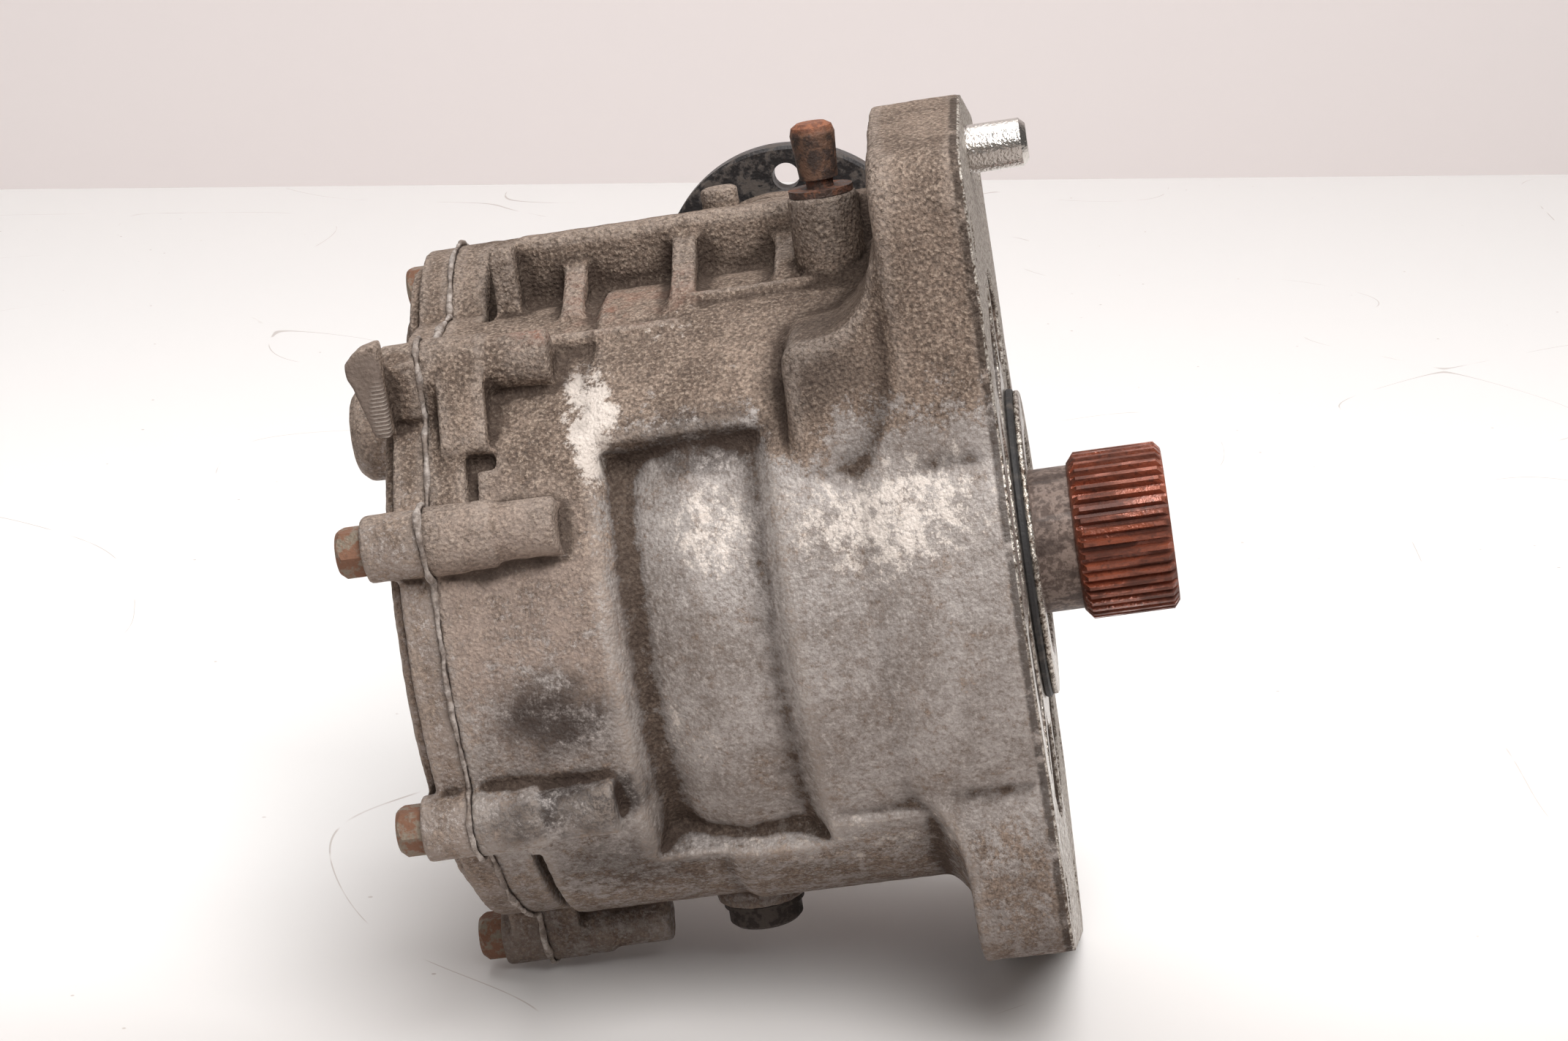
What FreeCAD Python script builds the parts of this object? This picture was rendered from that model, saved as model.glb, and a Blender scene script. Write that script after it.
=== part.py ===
import FreeCAD, Part
import math
import os

# Right-angle power transfer unit of a car with a crosswise engine, in millimetres.
# Origin: centre of the hollow input shaft on the mating face.
# +X runs out of the mating face along the input shaft, +Z points to the breather,
# +Y points to the output flange.

os.makedirs("parts", exist_ok=True)

# Main case
mating_flange_t = 24.5
case_length = 149.0
barrel_r = 86.0
case_wall = 8.0
joint_body_r = 84.0
gusset_r = 17.0
shoulder_x = -53.0
shoulder_z = 79.0
joint_strip_t = 10.0
pocket_turns = (137.0, 220.0)
bar_start_x = -145.0
bar_end_x = -132.5
bar_end_r = 5.0
bar_end_turn = 132.5
groove_w = 3.0
groove_depth = 4.0
groove_turns = (135.0, 148.0)
low_groove_turns = (214.0, 264.0)
chamber_groove_depth = 3.5
chamber_groove_turns = (95.0, 150.0)
chamber_wall_y = 9.0
chamber_wall_z = 103.0
chamber_wall_end_x = -33.0
block_x = (-134.5, -128.0)
block_y = -1.0

# Shafts: the countershaft lies above and behind the input shaft
centre_distance = 70.0
counter_z = 58.5
counter_y = math.sqrt(centre_distance ** 2 - counter_z ** 2)
chamber_r = 40.0
pinion_x = -64.5

# Teeth
spur_module = 2.5
input_teeth = 38
counter_teeth = 18
spur_width = 22.0
spur_x = -107.0
spur_backlash = 0.35
bevel_module = 2.25
ring_teeth = 28
pinion_teeth = 18
bevel_face = 12.0
bevel_backlash = 0.4
ring_back_t = 8.0
pressure_angle = math.radians(20.0)

# Input shaft
axle_bore_r = 17.0
spline_teeth = 44
spline_tip_r = 23.3
spline_root_r = 21.5
spline_start_x = 14.0
spline_end_x = 40.3
neck_r = 20.0
input_seat_r = 25.0
input_tube_r = 26.5
input_gear_bore_r = 28.0
input_collar_r = 32.0
input_front_bearing_x = -36.0
input_rear_bearing_x = -160.0
input_bearing_w = 12.0
input_bearing_r = 36.0

# Countershaft
counter_seat_r = 12.5
counter_tube_r = 15.0
counter_gear_bore_r = 15.0
counter_front_bearing_x = -44.0
counter_rear_bearing_x = -162.0
counter_bearing_w = 13.0
counter_bearing_r = 21.0

# Bevel pinion and output
head_bearing_y = 75.5
head_bearing_w = 17.0
head_bearing_r = 27.0
head_seat_r = 15.0
tail_bearing_y = 110.0
tail_bearing_w = 14.0
tail_bearing_r = 24.0
tail_seat_r = 12.5
pinion_shoulder_y = 96.0
spacer_r = 14.6
spacer_bulge_r = 17.0
pinion_spline_r = 11.5
pinion_thread_r = 8.5
tower_end_y = 104.0
tower_r = 32.0
spigot_y = 93.5
spigot_groove_y = 99.0
housing_ring_t = 2.4
housing_flange_t = 9.0
housing_end_y = 131.0
housing_neck_r = 29.5
housing_bolt_circle_r = 37.0
housing_bolt_turns = (24.0, 156.0, 204.0, 336.0)
output_face_y = 150.0
output_disc_t = 10.5
output_disc_r = 42.0
output_hub_r = 17.0
output_bolt_pcd = 65.0
output_bolt_r = 4.25
output_bolt_turn = 86.0
output_bolt_count = 4
output_recess_r = 21.0
output_recess_depth = 6.0
deflector_r = 29.5
deflector_t = 1.2
deflector_y = 126.5

# Mating face
pilot_r = 42.5
pilot_height = 4.0
pilot_bore_r = 31.0
pilot_ring_t = 2.2
pilot_ring_depth = 2.1
pilot_ring_proud = 0.6
mating_recess_in_r = pilot_r + 8.5
mating_recess_out_r = barrel_r - 10.0
mating_recess_depth = 20.0
mating_rib_t = 7.0
dowel_r = 6.5
dowel_stem_r = 6.0
dowel_neck = 0.6
dowel_height = 16.0
dowel_depth = 14.0
dowel_place = (-10.0, 112.5)
dowel_hole_place = (22.0, -109.0)
mating_bolt_r = 5.5
mating_bolt_y = 61.0
mating_bolt_top_z = 97.0
mating_bolt_bottom_z = -81.0
mating_boss_r = 15.0
head_corner_place = (-62.0, 108.0)
head_root_z = 45.0
foot_root_z = -40.0

# Place, thickness, reach towards -Y, height there and drop below the lip of each chamber rib
chamber_ribs = [(-115.5, 6.2, -14.0, 84.5, 8.0), (-84.5, 6.5, -26.0, 82.5, 4.5), (-56.5, 6.2, -14.0, 86.5, 8.0)]
# Start, end, side and height of each low ridge on the barrel
barrel_ridges = [(-122.0, -82.0, -32.0, 82.3), (-81.0, -31.0, -19.5, 86.2)]

# Cover joint
bead_t = 0.7
bead_width = 5.0
bead_proud = 0.7
cover_flange_t = 9.0
cover_plate_t = 12.5
axle_hub_r = 37.0
axle_hub_face_x = -168.0
axle_seal_r = 27.0
axle_seal_t = 6.0
counter_hub_r = 25.0
counter_hub_face_x = -167.0
end_cap_r = 14.5
end_cap_x = -187.0
end_cap_y = 32.0
end_cap_z = 50.0
boss_r = 8.8
web_r = 20.0
web_out = 4.5
case_boss_step = 17.5
lug_y = -60.0
lug_t = 9.0
lug_foot_t = 12.0
bolt_hole_r = 4.3
bolt_shank_r = 4.0
bolt_head_flats = 12.0
bolt_head_h = 7.0
bolt_reach = 22.0
# Angle round the shaft, distance outside the body's radius, length of the cover boss and of the case boss
cover_bolt_ring = [(117.6, 5.0, 10.5, 34.0), (151.3, 3.5, 15.7, 34.0), (203.0, 2.5, 13.4, 37.0),
                   (263.5, 8.0, 12.5, 35.0), (305.0, 4.5, 13.0, 34.0), (350.0, 4.0, 13.0, 34.0)]
counter_bolt_ring = [(32.0, 5.5, 16.7, 18.0), (-25.0, 7.5, 13.0, 30.0)]

# Breather, plugs
breather_x = -40.5
breather_y = -9.0
breather_z = 106.5
breather_boss_r = 9.6
breather_washer_r = 8.7
breather_washer_t = 1.8
breather_neck_r = 3.7
breather_neck_h = 4.5
breather_cap_r = 6.1
breather_cap_foot_r = 5.2
breather_cap_h = 15.0
drain_x = -87.5
drain_y = -8.0
drain_boss_r = 13.0
drain_plug_r = 11.5
plug_thread_r = 8.0
plug_washer_t = 1.5
plug_head_h = 5.5
plug_socket = 10.0
plug_length = 12.0
belly_r = barrel_r + 2.0
belly_start_z = -48.0
belly_start_x = -88.0
belly_end_x = -20.0
belly_low_turn = 206.0
belly_end_turn = 329.0
drain_seat_z = -belly_r - 2.0
top_boss_x = -75.0
top_boss_y = 58.0
top_boss_r = 5.5
top_boss_z = 102.5
fill_x = -64.5
fill_z = -24.0
fill_seat_y = 91.0

# Room inside the case
wide_room_r = joint_body_r - 14.0
narrow_room_r = barrel_r - 22.0
front_wall_x = -32.0
shim_t = 1.0
lock_ring_t = 5.0
lock_ring_h = 4.5
spacer_wall = 3.5

# Clearances
run_gap = 0.3
gear_gap = 4.0
joint_x = -case_length


def vec(x, y, z):
    return FreeCAD.Vector(x, y, z)


def disc_x(x0, x1, radius, y=0.0, z=0.0):
    """Solid round bar along X."""
    low, high = min(x0, x1), max(x0, x1)
    return Part.makeCylinder(radius, high - low, vec(low, y, z), vec(1, 0, 0))


def disc_y(y0, y1, radius, x=pinion_x, z=counter_z):
    """Solid round bar along Y."""
    return Part.makeCylinder(radius, y1 - y0, vec(x, y0, z), vec(0, 1, 0))


def disc_z(z0, z1, radius, x, y):
    """Solid round bar along Z."""
    return Part.makeCylinder(radius, z1 - z0, vec(x, y, z0), vec(0, 0, 1))


def turned_x(profile, y=0.0, z=0.0, angle=360.0):
    """Body turned round an axis along X from (x, radius) points."""
    points = [vec(x, y, z + r) for x, r in profile]
    face = Part.Face(Part.makePolygon(points + points[:1]))
    return face.revolve(vec(0, y, z), vec(1, 0, 0), angle)


def turned_y(profile, x=pinion_x, z=counter_z):
    """Body turned round an axis along Y from (y, radius) points."""
    points = [vec(x, y, z + r) for y, r in profile]
    face = Part.Face(Part.makePolygon(points + points[:1]))
    return face.revolve(vec(x, 0, z), vec(0, 1, 0), 360)


def turned_z(profile, x, y):
    """Body turned round an axis along Z from (z, radius) points."""
    points = [vec(x + r, y, z) for z, r in profile]
    face = Part.Face(Part.makePolygon(points + points[:1]))
    return face.revolve(vec(x, y, 0), vec(0, 0, 1), 360)


def joined(shapes):
    """One body from many, with no seams left on flat faces."""
    return shapes[0].multiFuse(shapes[1:]).removeSplitter()


def grown(body, shapes):
    """The body with other bodies added one after another."""
    for shape in shapes:
        body = body.fuse(shape)
    return body.removeSplitter()


def hull_x(circles, x0, x1):
    """Plate along X round circles (y, z, r) that follow each other round its outline."""
    outline = []
    count = len(circles)
    for i, (y0, z0, r0) in enumerate(circles):
        y1, z1, r1 = circles[(i + 1) % count]
        along = math.atan2(z1 - z0, y1 - y0)
        lean = math.acos((r0 - r1) / math.hypot(y1 - y0, z1 - z0))
        turn = along - lean
        outline.append((y0 + r0 * math.cos(turn), z0 + r0 * math.sin(turn)))
        outline.append((y1 + r1 * math.cos(turn), z1 + r1 * math.sin(turn)))
    points = [vec(x0, y, z) for y, z in outline]
    plate = Part.Face(Part.makePolygon(points + points[:1])).extrude(vec(x1 - x0, 0, 0))
    rounds = [disc_x(x0, x1, r, y, z) for y, z, r in circles]
    return joined([plate] + rounds)


def hexagon(flats):
    """Corner points of a hexagon with the given size over its flats."""
    radius = flats / math.sqrt(3.0)
    return [(radius * math.cos(math.radians(60 * i)), radius * math.sin(math.radians(60 * i)))
            for i in range(6)]


def hex_head_x(x_seat, height, flats, y, z):
    """Hexagon head that stands towards -X from its seat, with its outer corners turned off."""
    points = [vec(x_seat, y + u, z + v) for u, v in hexagon(flats)]
    prism = Part.Face(Part.makePolygon(points + points[:1])).extrude(vec(-height, 0, 0))
    corner = flats / math.sqrt(3.0)
    dome = turned_x([(x_seat + 1, 0), (x_seat + 1, corner + 1), (x_seat - height * 0.7, corner + 0.3),
                     (x_seat - height, flats * 0.46), (x_seat - height, 0)], y, z)
    return prism.common(dome)


def hex_head_y(y_seat, height, flats, x, z):
    """Hexagon head that stands towards +Y from its seat."""
    points = [vec(x + u, y_seat, z + v) for u, v in hexagon(flats)]
    return Part.Face(Part.makePolygon(points + points[:1])).extrude(vec(0, height, 0))


def bolt_rings():
    """The two rings of cover bolts with the axis (y, z) and radius of the body that each goes round."""
    return [(0.0, 0.0, joint_body_r, cover_bolt_ring), (counter_y, counter_z, chamber_r, counter_bolt_ring)]


def round_places():
    """Centres (y, z) of the cover bolts with the lengths of their cover and case bosses."""
    places = []
    for y, z, body_r, ring in bolt_rings():
        for turn, out, height, depth in ring:
            a = math.radians(turn)
            radius = body_r + out
            places.append((y + radius * math.cos(a), z + radius * math.sin(a), height, depth))
    return places


cover_bolts_at = round_places()


def joint_plate(x0, x1, grow=0.0):
    """Outline of the joint between case and cover, drawn between two X places."""
    shapes = [disc_x(x0, x1, joint_body_r + grow)]
    shapes.append(disc_x(x0, x1, chamber_r + grow, counter_y, counter_z))
    for y, z, _, _ in cover_bolts_at:
        shapes.append(disc_x(x0, x1, boss_r + grow, y, z))
    for cy, cz, body_r, ring in bolt_rings():
        for turn, out, _, _ in ring:
            if out < web_out:
                continue
            a, deep = math.radians(turn), body_r - web_r - 2.0
            shapes.append(hull_x([(cy + (body_r + out) * math.cos(a), cz + (body_r + out) * math.sin(a),
                                   boss_r + grow), (cy + deep * math.cos(a), cz + deep * math.sin(a),
                                                    web_r + grow)], x0, x1))
    return grown(shapes[0], shapes[1:])


def half_angle(teeth, module, backlash, radius):
    """Half of a tooth's angle at a radius, for an involute tooth."""
    pitch = teeth * module / 2.0
    base = pitch * math.cos(pressure_angle)
    at = math.acos(min(1.0, base / radius))
    involute = math.tan(at) - at
    start = math.tan(pressure_angle) - pressure_angle
    width = math.pi * module / 2.0 - backlash / 2.0
    return width / (2.0 * pitch) + start - involute


def skin(rings):
    """Solid of flat faces between outlines that have the same number of points."""
    faces = [Part.Face(Part.makePolygon(ring + ring[:1])) for ring in (rings[0], rings[-1])]
    for low, high in zip(rings, rings[1:]):
        for i in range(len(low)):
            j = (i + 1) % len(low)
            faces.append(Part.Face(Part.makePolygon([low[i], low[j], high[j], high[i], low[i]])))
    return Part.makeSolid(Part.makeShell(faces))


def spur_section(teeth, turn, x, y, z):
    """Closed outline of a spur gear at X, with a tooth centred at the angle turn."""
    pitch = teeth * spur_module / 2.0
    tip = pitch + spur_module
    base = pitch * math.cos(pressure_angle)
    root = pitch - 1.25 * spur_module
    low = max(base, root)
    flank = [(root, half_angle(teeth, spur_module, spur_backlash, low))]
    flank += [(r, half_angle(teeth, spur_module, spur_backlash, r)) for r in (low, pitch, tip)]
    points = []
    for i in range(teeth):
        centre = turn + 2.0 * math.pi * i / teeth
        for r, half in flank:
            points.append(vec(x, y + r * math.cos(centre - half), z + r * math.sin(centre - half)))
        for r, half in reversed(flank):
            points.append(vec(x, y + r * math.cos(centre + half), z + r * math.sin(centre + half)))
    return Part.makePolygon(points + points[:1])


def spur_gear(teeth, turn, y, z, bore):
    """Spur gear along X."""
    section = Part.Face(spur_section(teeth, turn, spur_x - spur_width, y, z))
    body = section.extrude(vec(spur_width, 0, 0))
    return body.cut(disc_x(spur_x - spur_width - 1, spur_x + 1, bore, y, z))


def bevel_section(teeth, mate, height, turn):
    """Outline (u, v) of a straight bevel gear in the plane at a height from its cone's point."""
    cone = math.atan2(teeth, mate)
    distance = bevel_module * math.hypot(teeth, mate) / 2.0
    virtual = teeth / math.cos(cone)
    pitch = virtual * bevel_module / 2.0
    base = pitch * math.cos(pressure_angle)
    root = pitch - 1.25 * bevel_module
    tip = pitch + bevel_module
    low = max(base, root)
    flank = [(root, half_angle(virtual, bevel_module, bevel_backlash, low))]
    for r in (low, pitch, (pitch + tip) / 2.0, tip):
        flank.append((r, half_angle(virtual, bevel_module, bevel_backlash, r)))
    ring = []
    for r, half in flank:
        rise = r - pitch
        radius = distance * math.sin(cone) + rise * math.cos(cone)
        axial = distance * math.cos(cone) - rise * math.sin(cone)
        ring.append((radius * height / axial, half / math.cos(cone)))
    points = []
    for i in range(teeth):
        centre = turn + 2.0 * math.pi * i / teeth
        for r, half in ring:
            points.append((r * math.cos(centre - half), r * math.sin(centre - half)))
        for r, half in reversed(ring):
            points.append((r * math.cos(centre + half), r * math.sin(centre + half)))
    return points


def bevel_ends(teeth, mate):
    """Tip and root points (height, radius) of a bevel gear at the outer and the inner tooth end."""
    cone = math.atan2(teeth, mate)
    outer = bevel_module * math.hypot(teeth, mate) / 2.0
    share = (outer - bevel_face) / outer
    ends = []
    for rise in (bevel_module, -1.25 * bevel_module):
        height = outer * math.cos(cone) - rise * math.sin(cone)
        radius = outer * math.sin(cone) + rise * math.cos(cone)
        ends.append((height, radius))
        ends.append((height * share, radius * share))
    return ends


def taper_bearing(low, width, seat, outer, rollers, wide_end):
    """Cone and cup of a tapered roller bearing, with its axis along X and its low end at X low.

    wide_end is 1 where the cone grows towards +X, and -1 where it grows towards -X.
    """
    middle = (seat + outer) / 2.0
    roller_r = (outer - seat) * 0.17
    lean = math.radians(12.0)
    half = width * 0.5
    race = seat + (outer - seat) * 0.36
    rise = math.tan(lean) * half * 0.8
    slim, fat = (race - rise, race + rise) if wide_end > 0 else (race + rise, race - rise)
    cone = turned_x([(low, seat), (low, slim), (low + width, fat), (low + width, seat)])
    bars = []
    start, length = low + width * 0.14, width * 0.72
    end_z = middle - rise * 0.72 * wide_end
    circle = [(roller_r * math.cos(math.radians(30 * i)), roller_r * math.sin(math.radians(30 * i)))
              for i in range(12)]
    points = [vec(start, u, end_z + v) for u, v in circle]
    bar = Part.Face(Part.makePolygon(points + points[:1])).extrude(
        vec(length, 0, length * math.tan(lean) * wide_end * 0.8))
    for i in range(rollers):
        turned = bar.copy()
        turned.rotate(vec(0, 0, 0), vec(1, 0, 0), 360.0 * i / rollers)
        bars.append(turned)
    cone = cone.multiFuse(bars).removeSplitter()
    reach = middle + roller_r + run_gap
    near, far = (reach - rise, reach + rise) if wide_end > 0 else (reach + rise, reach - rise)
    cup = turned_x([(low, near), (low, outer), (low + width, outer), (low + width, far)])
    return cone, cup


def on_countershaft(shape):
    """Move a body from the input axis to the countershaft axis."""
    moved = shape.copy()
    moved.translate(vec(0, counter_y, counter_z))
    return moved


def on_pinion(shape):
    """Turn a body made along X to lie along Y on the pinion axis."""
    moved = shape.copy()
    moved.rotate(vec(0, 0, 0), vec(0, 0, 1), 90)
    moved.translate(vec(pinion_x, 0, counter_z))
    return moved


def bevel_sweep(gap):
    """Space that the ring gear and the pinion head sweep, with a gap all round."""
    ring = bevel_ends(ring_teeth, pinion_teeth)
    head = bevel_ends(pinion_teeth, ring_teeth)
    ring_r = ring[0][1] + gap
    head_r = head[0][1] + gap
    ring_back = pinion_x - ring[2][0] - ring_back_t
    return [disc_x(counter_front_bearing_x - gap, ring_back - gap, ring_r, counter_y, counter_z),
            disc_y(counter_y, head_bearing_y, head_r)]


def flange_outline(x0, x1):
    """Mating flange: a round middle with a head plate that holds the dowel and a foot plate."""
    r = mating_boss_r
    head = [head_corner_place, (-mating_bolt_y, head_root_z), (mating_bolt_y, head_root_z),
            (mating_bolt_y, mating_bolt_top_z), dowel_place]
    foot = [(-mating_bolt_y, foot_root_z), (-mating_bolt_y, mating_bolt_bottom_z), dowel_hole_place,
            (mating_bolt_y, mating_bolt_bottom_z), (mating_bolt_y, foot_root_z)]
    return joined([disc_x(x0, x1, barrel_r + 2.0), hull_x([(y, z, r) for y, z in head], x0, x1),
                   hull_x([(y, z, r) for y, z in foot], x0, x1),
                   disc_x(x0, x1, chamber_r + 3.0, counter_y, counter_z)])


def mating_recess():
    """Ring-shaped pocket in the mating face, divided by radial ribs."""
    ring = disc_x(-mating_recess_depth, 1.0, mating_recess_out_r).cut(
        disc_x(-mating_recess_depth - 1, 2.0, mating_recess_in_r))
    ribs = []
    for i in range(4):
        rib = Part.makeBox(mating_recess_depth + 2.0, mating_rib_t, 2.0 * barrel_r,
                           vec(-mating_recess_depth - 1.0, -mating_rib_t / 2.0, -barrel_r))
        rib.rotate(vec(0, 0, 0), vec(1, 0, 0), 45.0 * i)
        ribs.append(rib)
    return ring.cut(ribs)


def oil_space():
    """Room round the gears inside the barrel, with the hubs of the front bearings left standing."""
    step_x = spur_x + gear_gap + 3.0
    room = turned_x([(joint_x - 1, 0), (joint_x - 1, wide_room_r), (step_x, wide_room_r),
                     (step_x + 6.0, narrow_room_r), (front_wall_x - 4.0, narrow_room_r),
                     (front_wall_x, narrow_room_r - 4.0), (front_wall_x, 0)])
    return room.cut([disc_x(input_front_bearing_x - 2.0, 0.0, input_bearing_r + case_wall),
                     disc_x(counter_front_bearing_x - 3.0, 0.0, counter_bearing_r + case_wall,
                            counter_y, counter_z)])


def pocket_tool():
    """Sunk band on the near side of the barrel: a deep valley, a swell and a soft right edge."""
    out = barrel_r + 8.0
    profile = [(-111.0, out), (-105.5, barrel_r - 2.0), (-102.5, barrel_r - 10.0),
               (-98.0, barrel_r - 12.0), (-92.0, barrel_r - 8.5), (-82.0, barrel_r - 5.5),
               (-70.0, barrel_r - 6.0), (-64.0, barrel_r - 5.5), (-60.0, barrel_r - 1.0), (-56.0, out)]
    return band_x(profile, pocket_turns)


def belly():
    """Thicker lower part of the barrel that holds the oil, with a raised edge on its front half."""
    base = barrel_r - 16.0
    start = math.degrees(math.acos(belly_start_z / barrel_r)) + 90.0
    low_start = joint_x + joint_strip_t
    front = band_x([(belly_start_x, base), (belly_start_x, belly_r - 2.0), (belly_start_x + 3.0, belly_r),
                    (belly_end_x, belly_r), (belly_end_x, base)], (start, belly_end_turn))
    low = band_x([(low_start, base), (low_start, barrel_r), (belly_end_x, barrel_r), (belly_end_x, base)],
                 (belly_low_turn, belly_end_turn))
    return [front, low]


def shoulder():
    """Raised body between the barrel and the head of the mating flange, hollowed towards both."""
    steps = 5
    centre_x, centre_z = -mating_flange_t - gusset_r - 3.0, shoulder_z + gusset_r
    points = [(shoulder_x, 30.0), (shoulder_x, shoulder_z - 4.0), (shoulder_x + 3.0, shoulder_z - 0.5)]
    for i in range(steps + 1):
        a = math.radians(90.0 * i / steps)
        points.append((centre_x + gusset_r * math.sin(a), centre_z - gusset_r * math.cos(a)))
    points += [(-mating_flange_t + 1.0, centre_z + 4.0), (-mating_flange_t + 1.0, 30.0)]
    front = -mating_bolt_y - mating_boss_r + 3.0
    wire = Part.makePolygon([vec(x, front, z) for x, z in points + points[:1]])
    return Part.Face(wire).extrude(vec(0, 60.0, 0))


def gusset():
    """Concave blend from the barrel up to the mating flange, cut to the flange outline."""
    start = -mating_flange_t
    steps = 6
    arc = []
    for i in range(steps + 1):
        a = math.radians(90.0 * i / steps)
        arc.append((start - gusset_r * (1.0 - math.sin(a)), barrel_r - 1.0 + gusset_r * (1.0 - math.cos(a))))
    profile = [(start + 2.0, barrel_r - 10.0), (start - gusset_r, barrel_r - 10.0)] + arc
    profile += [(start + 2.0, barrel_r - 1.0 + gusset_r)]
    blend = turned_x(profile)
    return blend.common(flange_outline(start - gusset_r, start + 1.0))


def along_x(points, x0, x1):
    """Bar along X between two places with a section given by (y, z) points."""
    wire = [vec(x0, y, z) for y, z in points]
    return Part.Face(Part.makePolygon(wire + wire[:1])).extrude(vec(x1 - x0, 0, 0))


def chamber_wall():
    """Upright near wall of the upper chamber with its rounded lip, and the block beside the joint."""
    y, z, foot = chamber_wall_y, chamber_wall_z, barrel_r - 8.0
    wall = along_x([(y, foot), (y, z - 3.0), (y + 0.8, z - 1.0), (y + 3.0, z), (y + 8.0, z - 0.3),
                    (counter_y, counter_z + chamber_r - 0.2), (counter_y, foot)],
                   block_x[1], chamber_wall_end_x)
    block = along_x([(block_y, foot), (block_y, z - 3.5), (block_y + 1.5, z - 0.8), (block_y + 4.0, z),
                     (counter_y, counter_z + chamber_r - 0.2), (counter_y, foot)], block_x[0], block_x[1])
    return [wall, block]


def case_ribs():
    """Gussets from the chamber wall down to the barrel, and two low lengthwise ridges on the barrel."""
    foot = barrel_r - 8.0
    ribs = []
    for x, thick, reach, low, drop in chamber_ribs:
        head = chamber_wall_z - drop
        ribs.append(along_x([(reach, foot - 6.0), (reach, low), (chamber_wall_y - 5.0, head - 3.0),
                             (chamber_wall_y, head), (chamber_wall_y + 2.0, head), (chamber_wall_y + 2.0, foot)],
                            x, x + thick))
    for x0, x1, y, top in barrel_ridges:
        ribs.append(along_x([(y, top - 8.0), (y, top - 1.2), (y + 1.2, top), (y + 3.0, top), (y + 4.2, top - 0.8),
                             (y + 4.2, top - 8.0)], x0, x1))
    return ribs


def band_x(profile, turns, y=0.0, z=0.0):
    """Part of a body turned round an axis along X, between two angles from +Y."""
    band = turned_x(profile, y, z, turns[1] - turns[0])
    band.rotate(vec(0, y, z), vec(1, 0, 0), turns[0] - 90.0)
    return band


def joint_bar():
    """Raised bar on the case that runs down from the upper bolt boss beside the joint."""
    y, z, _, _ = cover_bolts_at[0]
    a = math.radians(bar_end_turn)
    return hull_x([(y, z, boss_r), ((joint_body_r - 1.0) * math.cos(a), (joint_body_r - 1.0) * math.sin(a),
                                    bar_end_r)], bar_start_x, bar_end_x)


def groove_x(width, low, out, turns, y=0.0, z=0.0):
    """Tool that sinks a groove behind the joint strip."""
    strip = joint_x + joint_strip_t
    return band_x([(strip, low), (strip, out), (strip + width, out), (strip + width, low)], turns, y, z)


def joint_cuts():
    """Grooves and a pocket behind the case's joint strip."""
    floor, out = joint_body_r - groove_depth, joint_body_r + boss_r
    return [groove_x(groove_w, floor, out, groove_turns),
            groove_x(groove_w + 5.0, floor, out, (groove_turns[0], groove_turns[0] + 3.5)),
            groove_x(groove_w, floor, out, low_groove_turns),
            groove_x(groove_w, chamber_r - chamber_groove_depth, chamber_r + boss_r, chamber_groove_turns,
                     counter_y, counter_z)]


def bolt_bosses():
    """Case bosses behind the cover bolts, each with a step."""
    bosses = []
    for y, z, _, depth in cover_bolts_at:
        bosses.append(disc_x(joint_x, joint_x + case_boss_step, boss_r, y, z))
        bosses.append(disc_x(joint_x, joint_x + depth, boss_r - 1.2, y, z))
    return bosses


def pinion_bolt_places():
    """Centres (x, z) of the pinion housing bolts."""
    places = []
    for turn in housing_bolt_turns:
        a = math.radians(turn)
        places.append((pinion_x + housing_bolt_circle_r * math.cos(a),
                       counter_z + housing_bolt_circle_r * math.sin(a)))
    return places


def case_outside():
    """Outer form of the main case."""
    shapes = [disc_x(joint_x, -100.0, joint_body_r), disc_x(-104.0, -20.0, barrel_r)]
    shapes.append(disc_x(joint_x, -mating_flange_t + 1.0, chamber_r, counter_y, counter_z))
    shapes += [shoulder(), joint_bar(), joint_plate(joint_x, joint_x + joint_strip_t, run_gap)]
    shapes += belly() + chamber_wall()
    shapes.append(disc_z(drain_seat_z, -70.0, drain_boss_r, drain_x, drain_y))
    shapes.append(disc_y(70.0, fill_seat_y, drain_boss_r, fill_x, fill_z))
    shapes.append(disc_z(80.0, top_boss_z, top_boss_r, top_boss_x, top_boss_y))
    shapes.append(disc_y(counter_y, tower_end_y, tower_r))
    for x, z in pinion_bolt_places():
        shapes.append(disc_y(tower_end_y - 26.0, tower_end_y, boss_r, x, z))
    shapes += case_ribs()
    shapes.append(disc_z(60.0, breather_z, breather_boss_r, breather_x, breather_y))
    shapes.append(gusset())
    body = grown(shapes[0], shapes[1:]).cut([pocket_tool()] + joint_cuts())
    flange = flange_outline(-mating_flange_t, 0.0)
    return grown(body, [flange, disc_x(-2.0, pilot_height, pilot_r)] + bolt_bosses())


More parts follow.
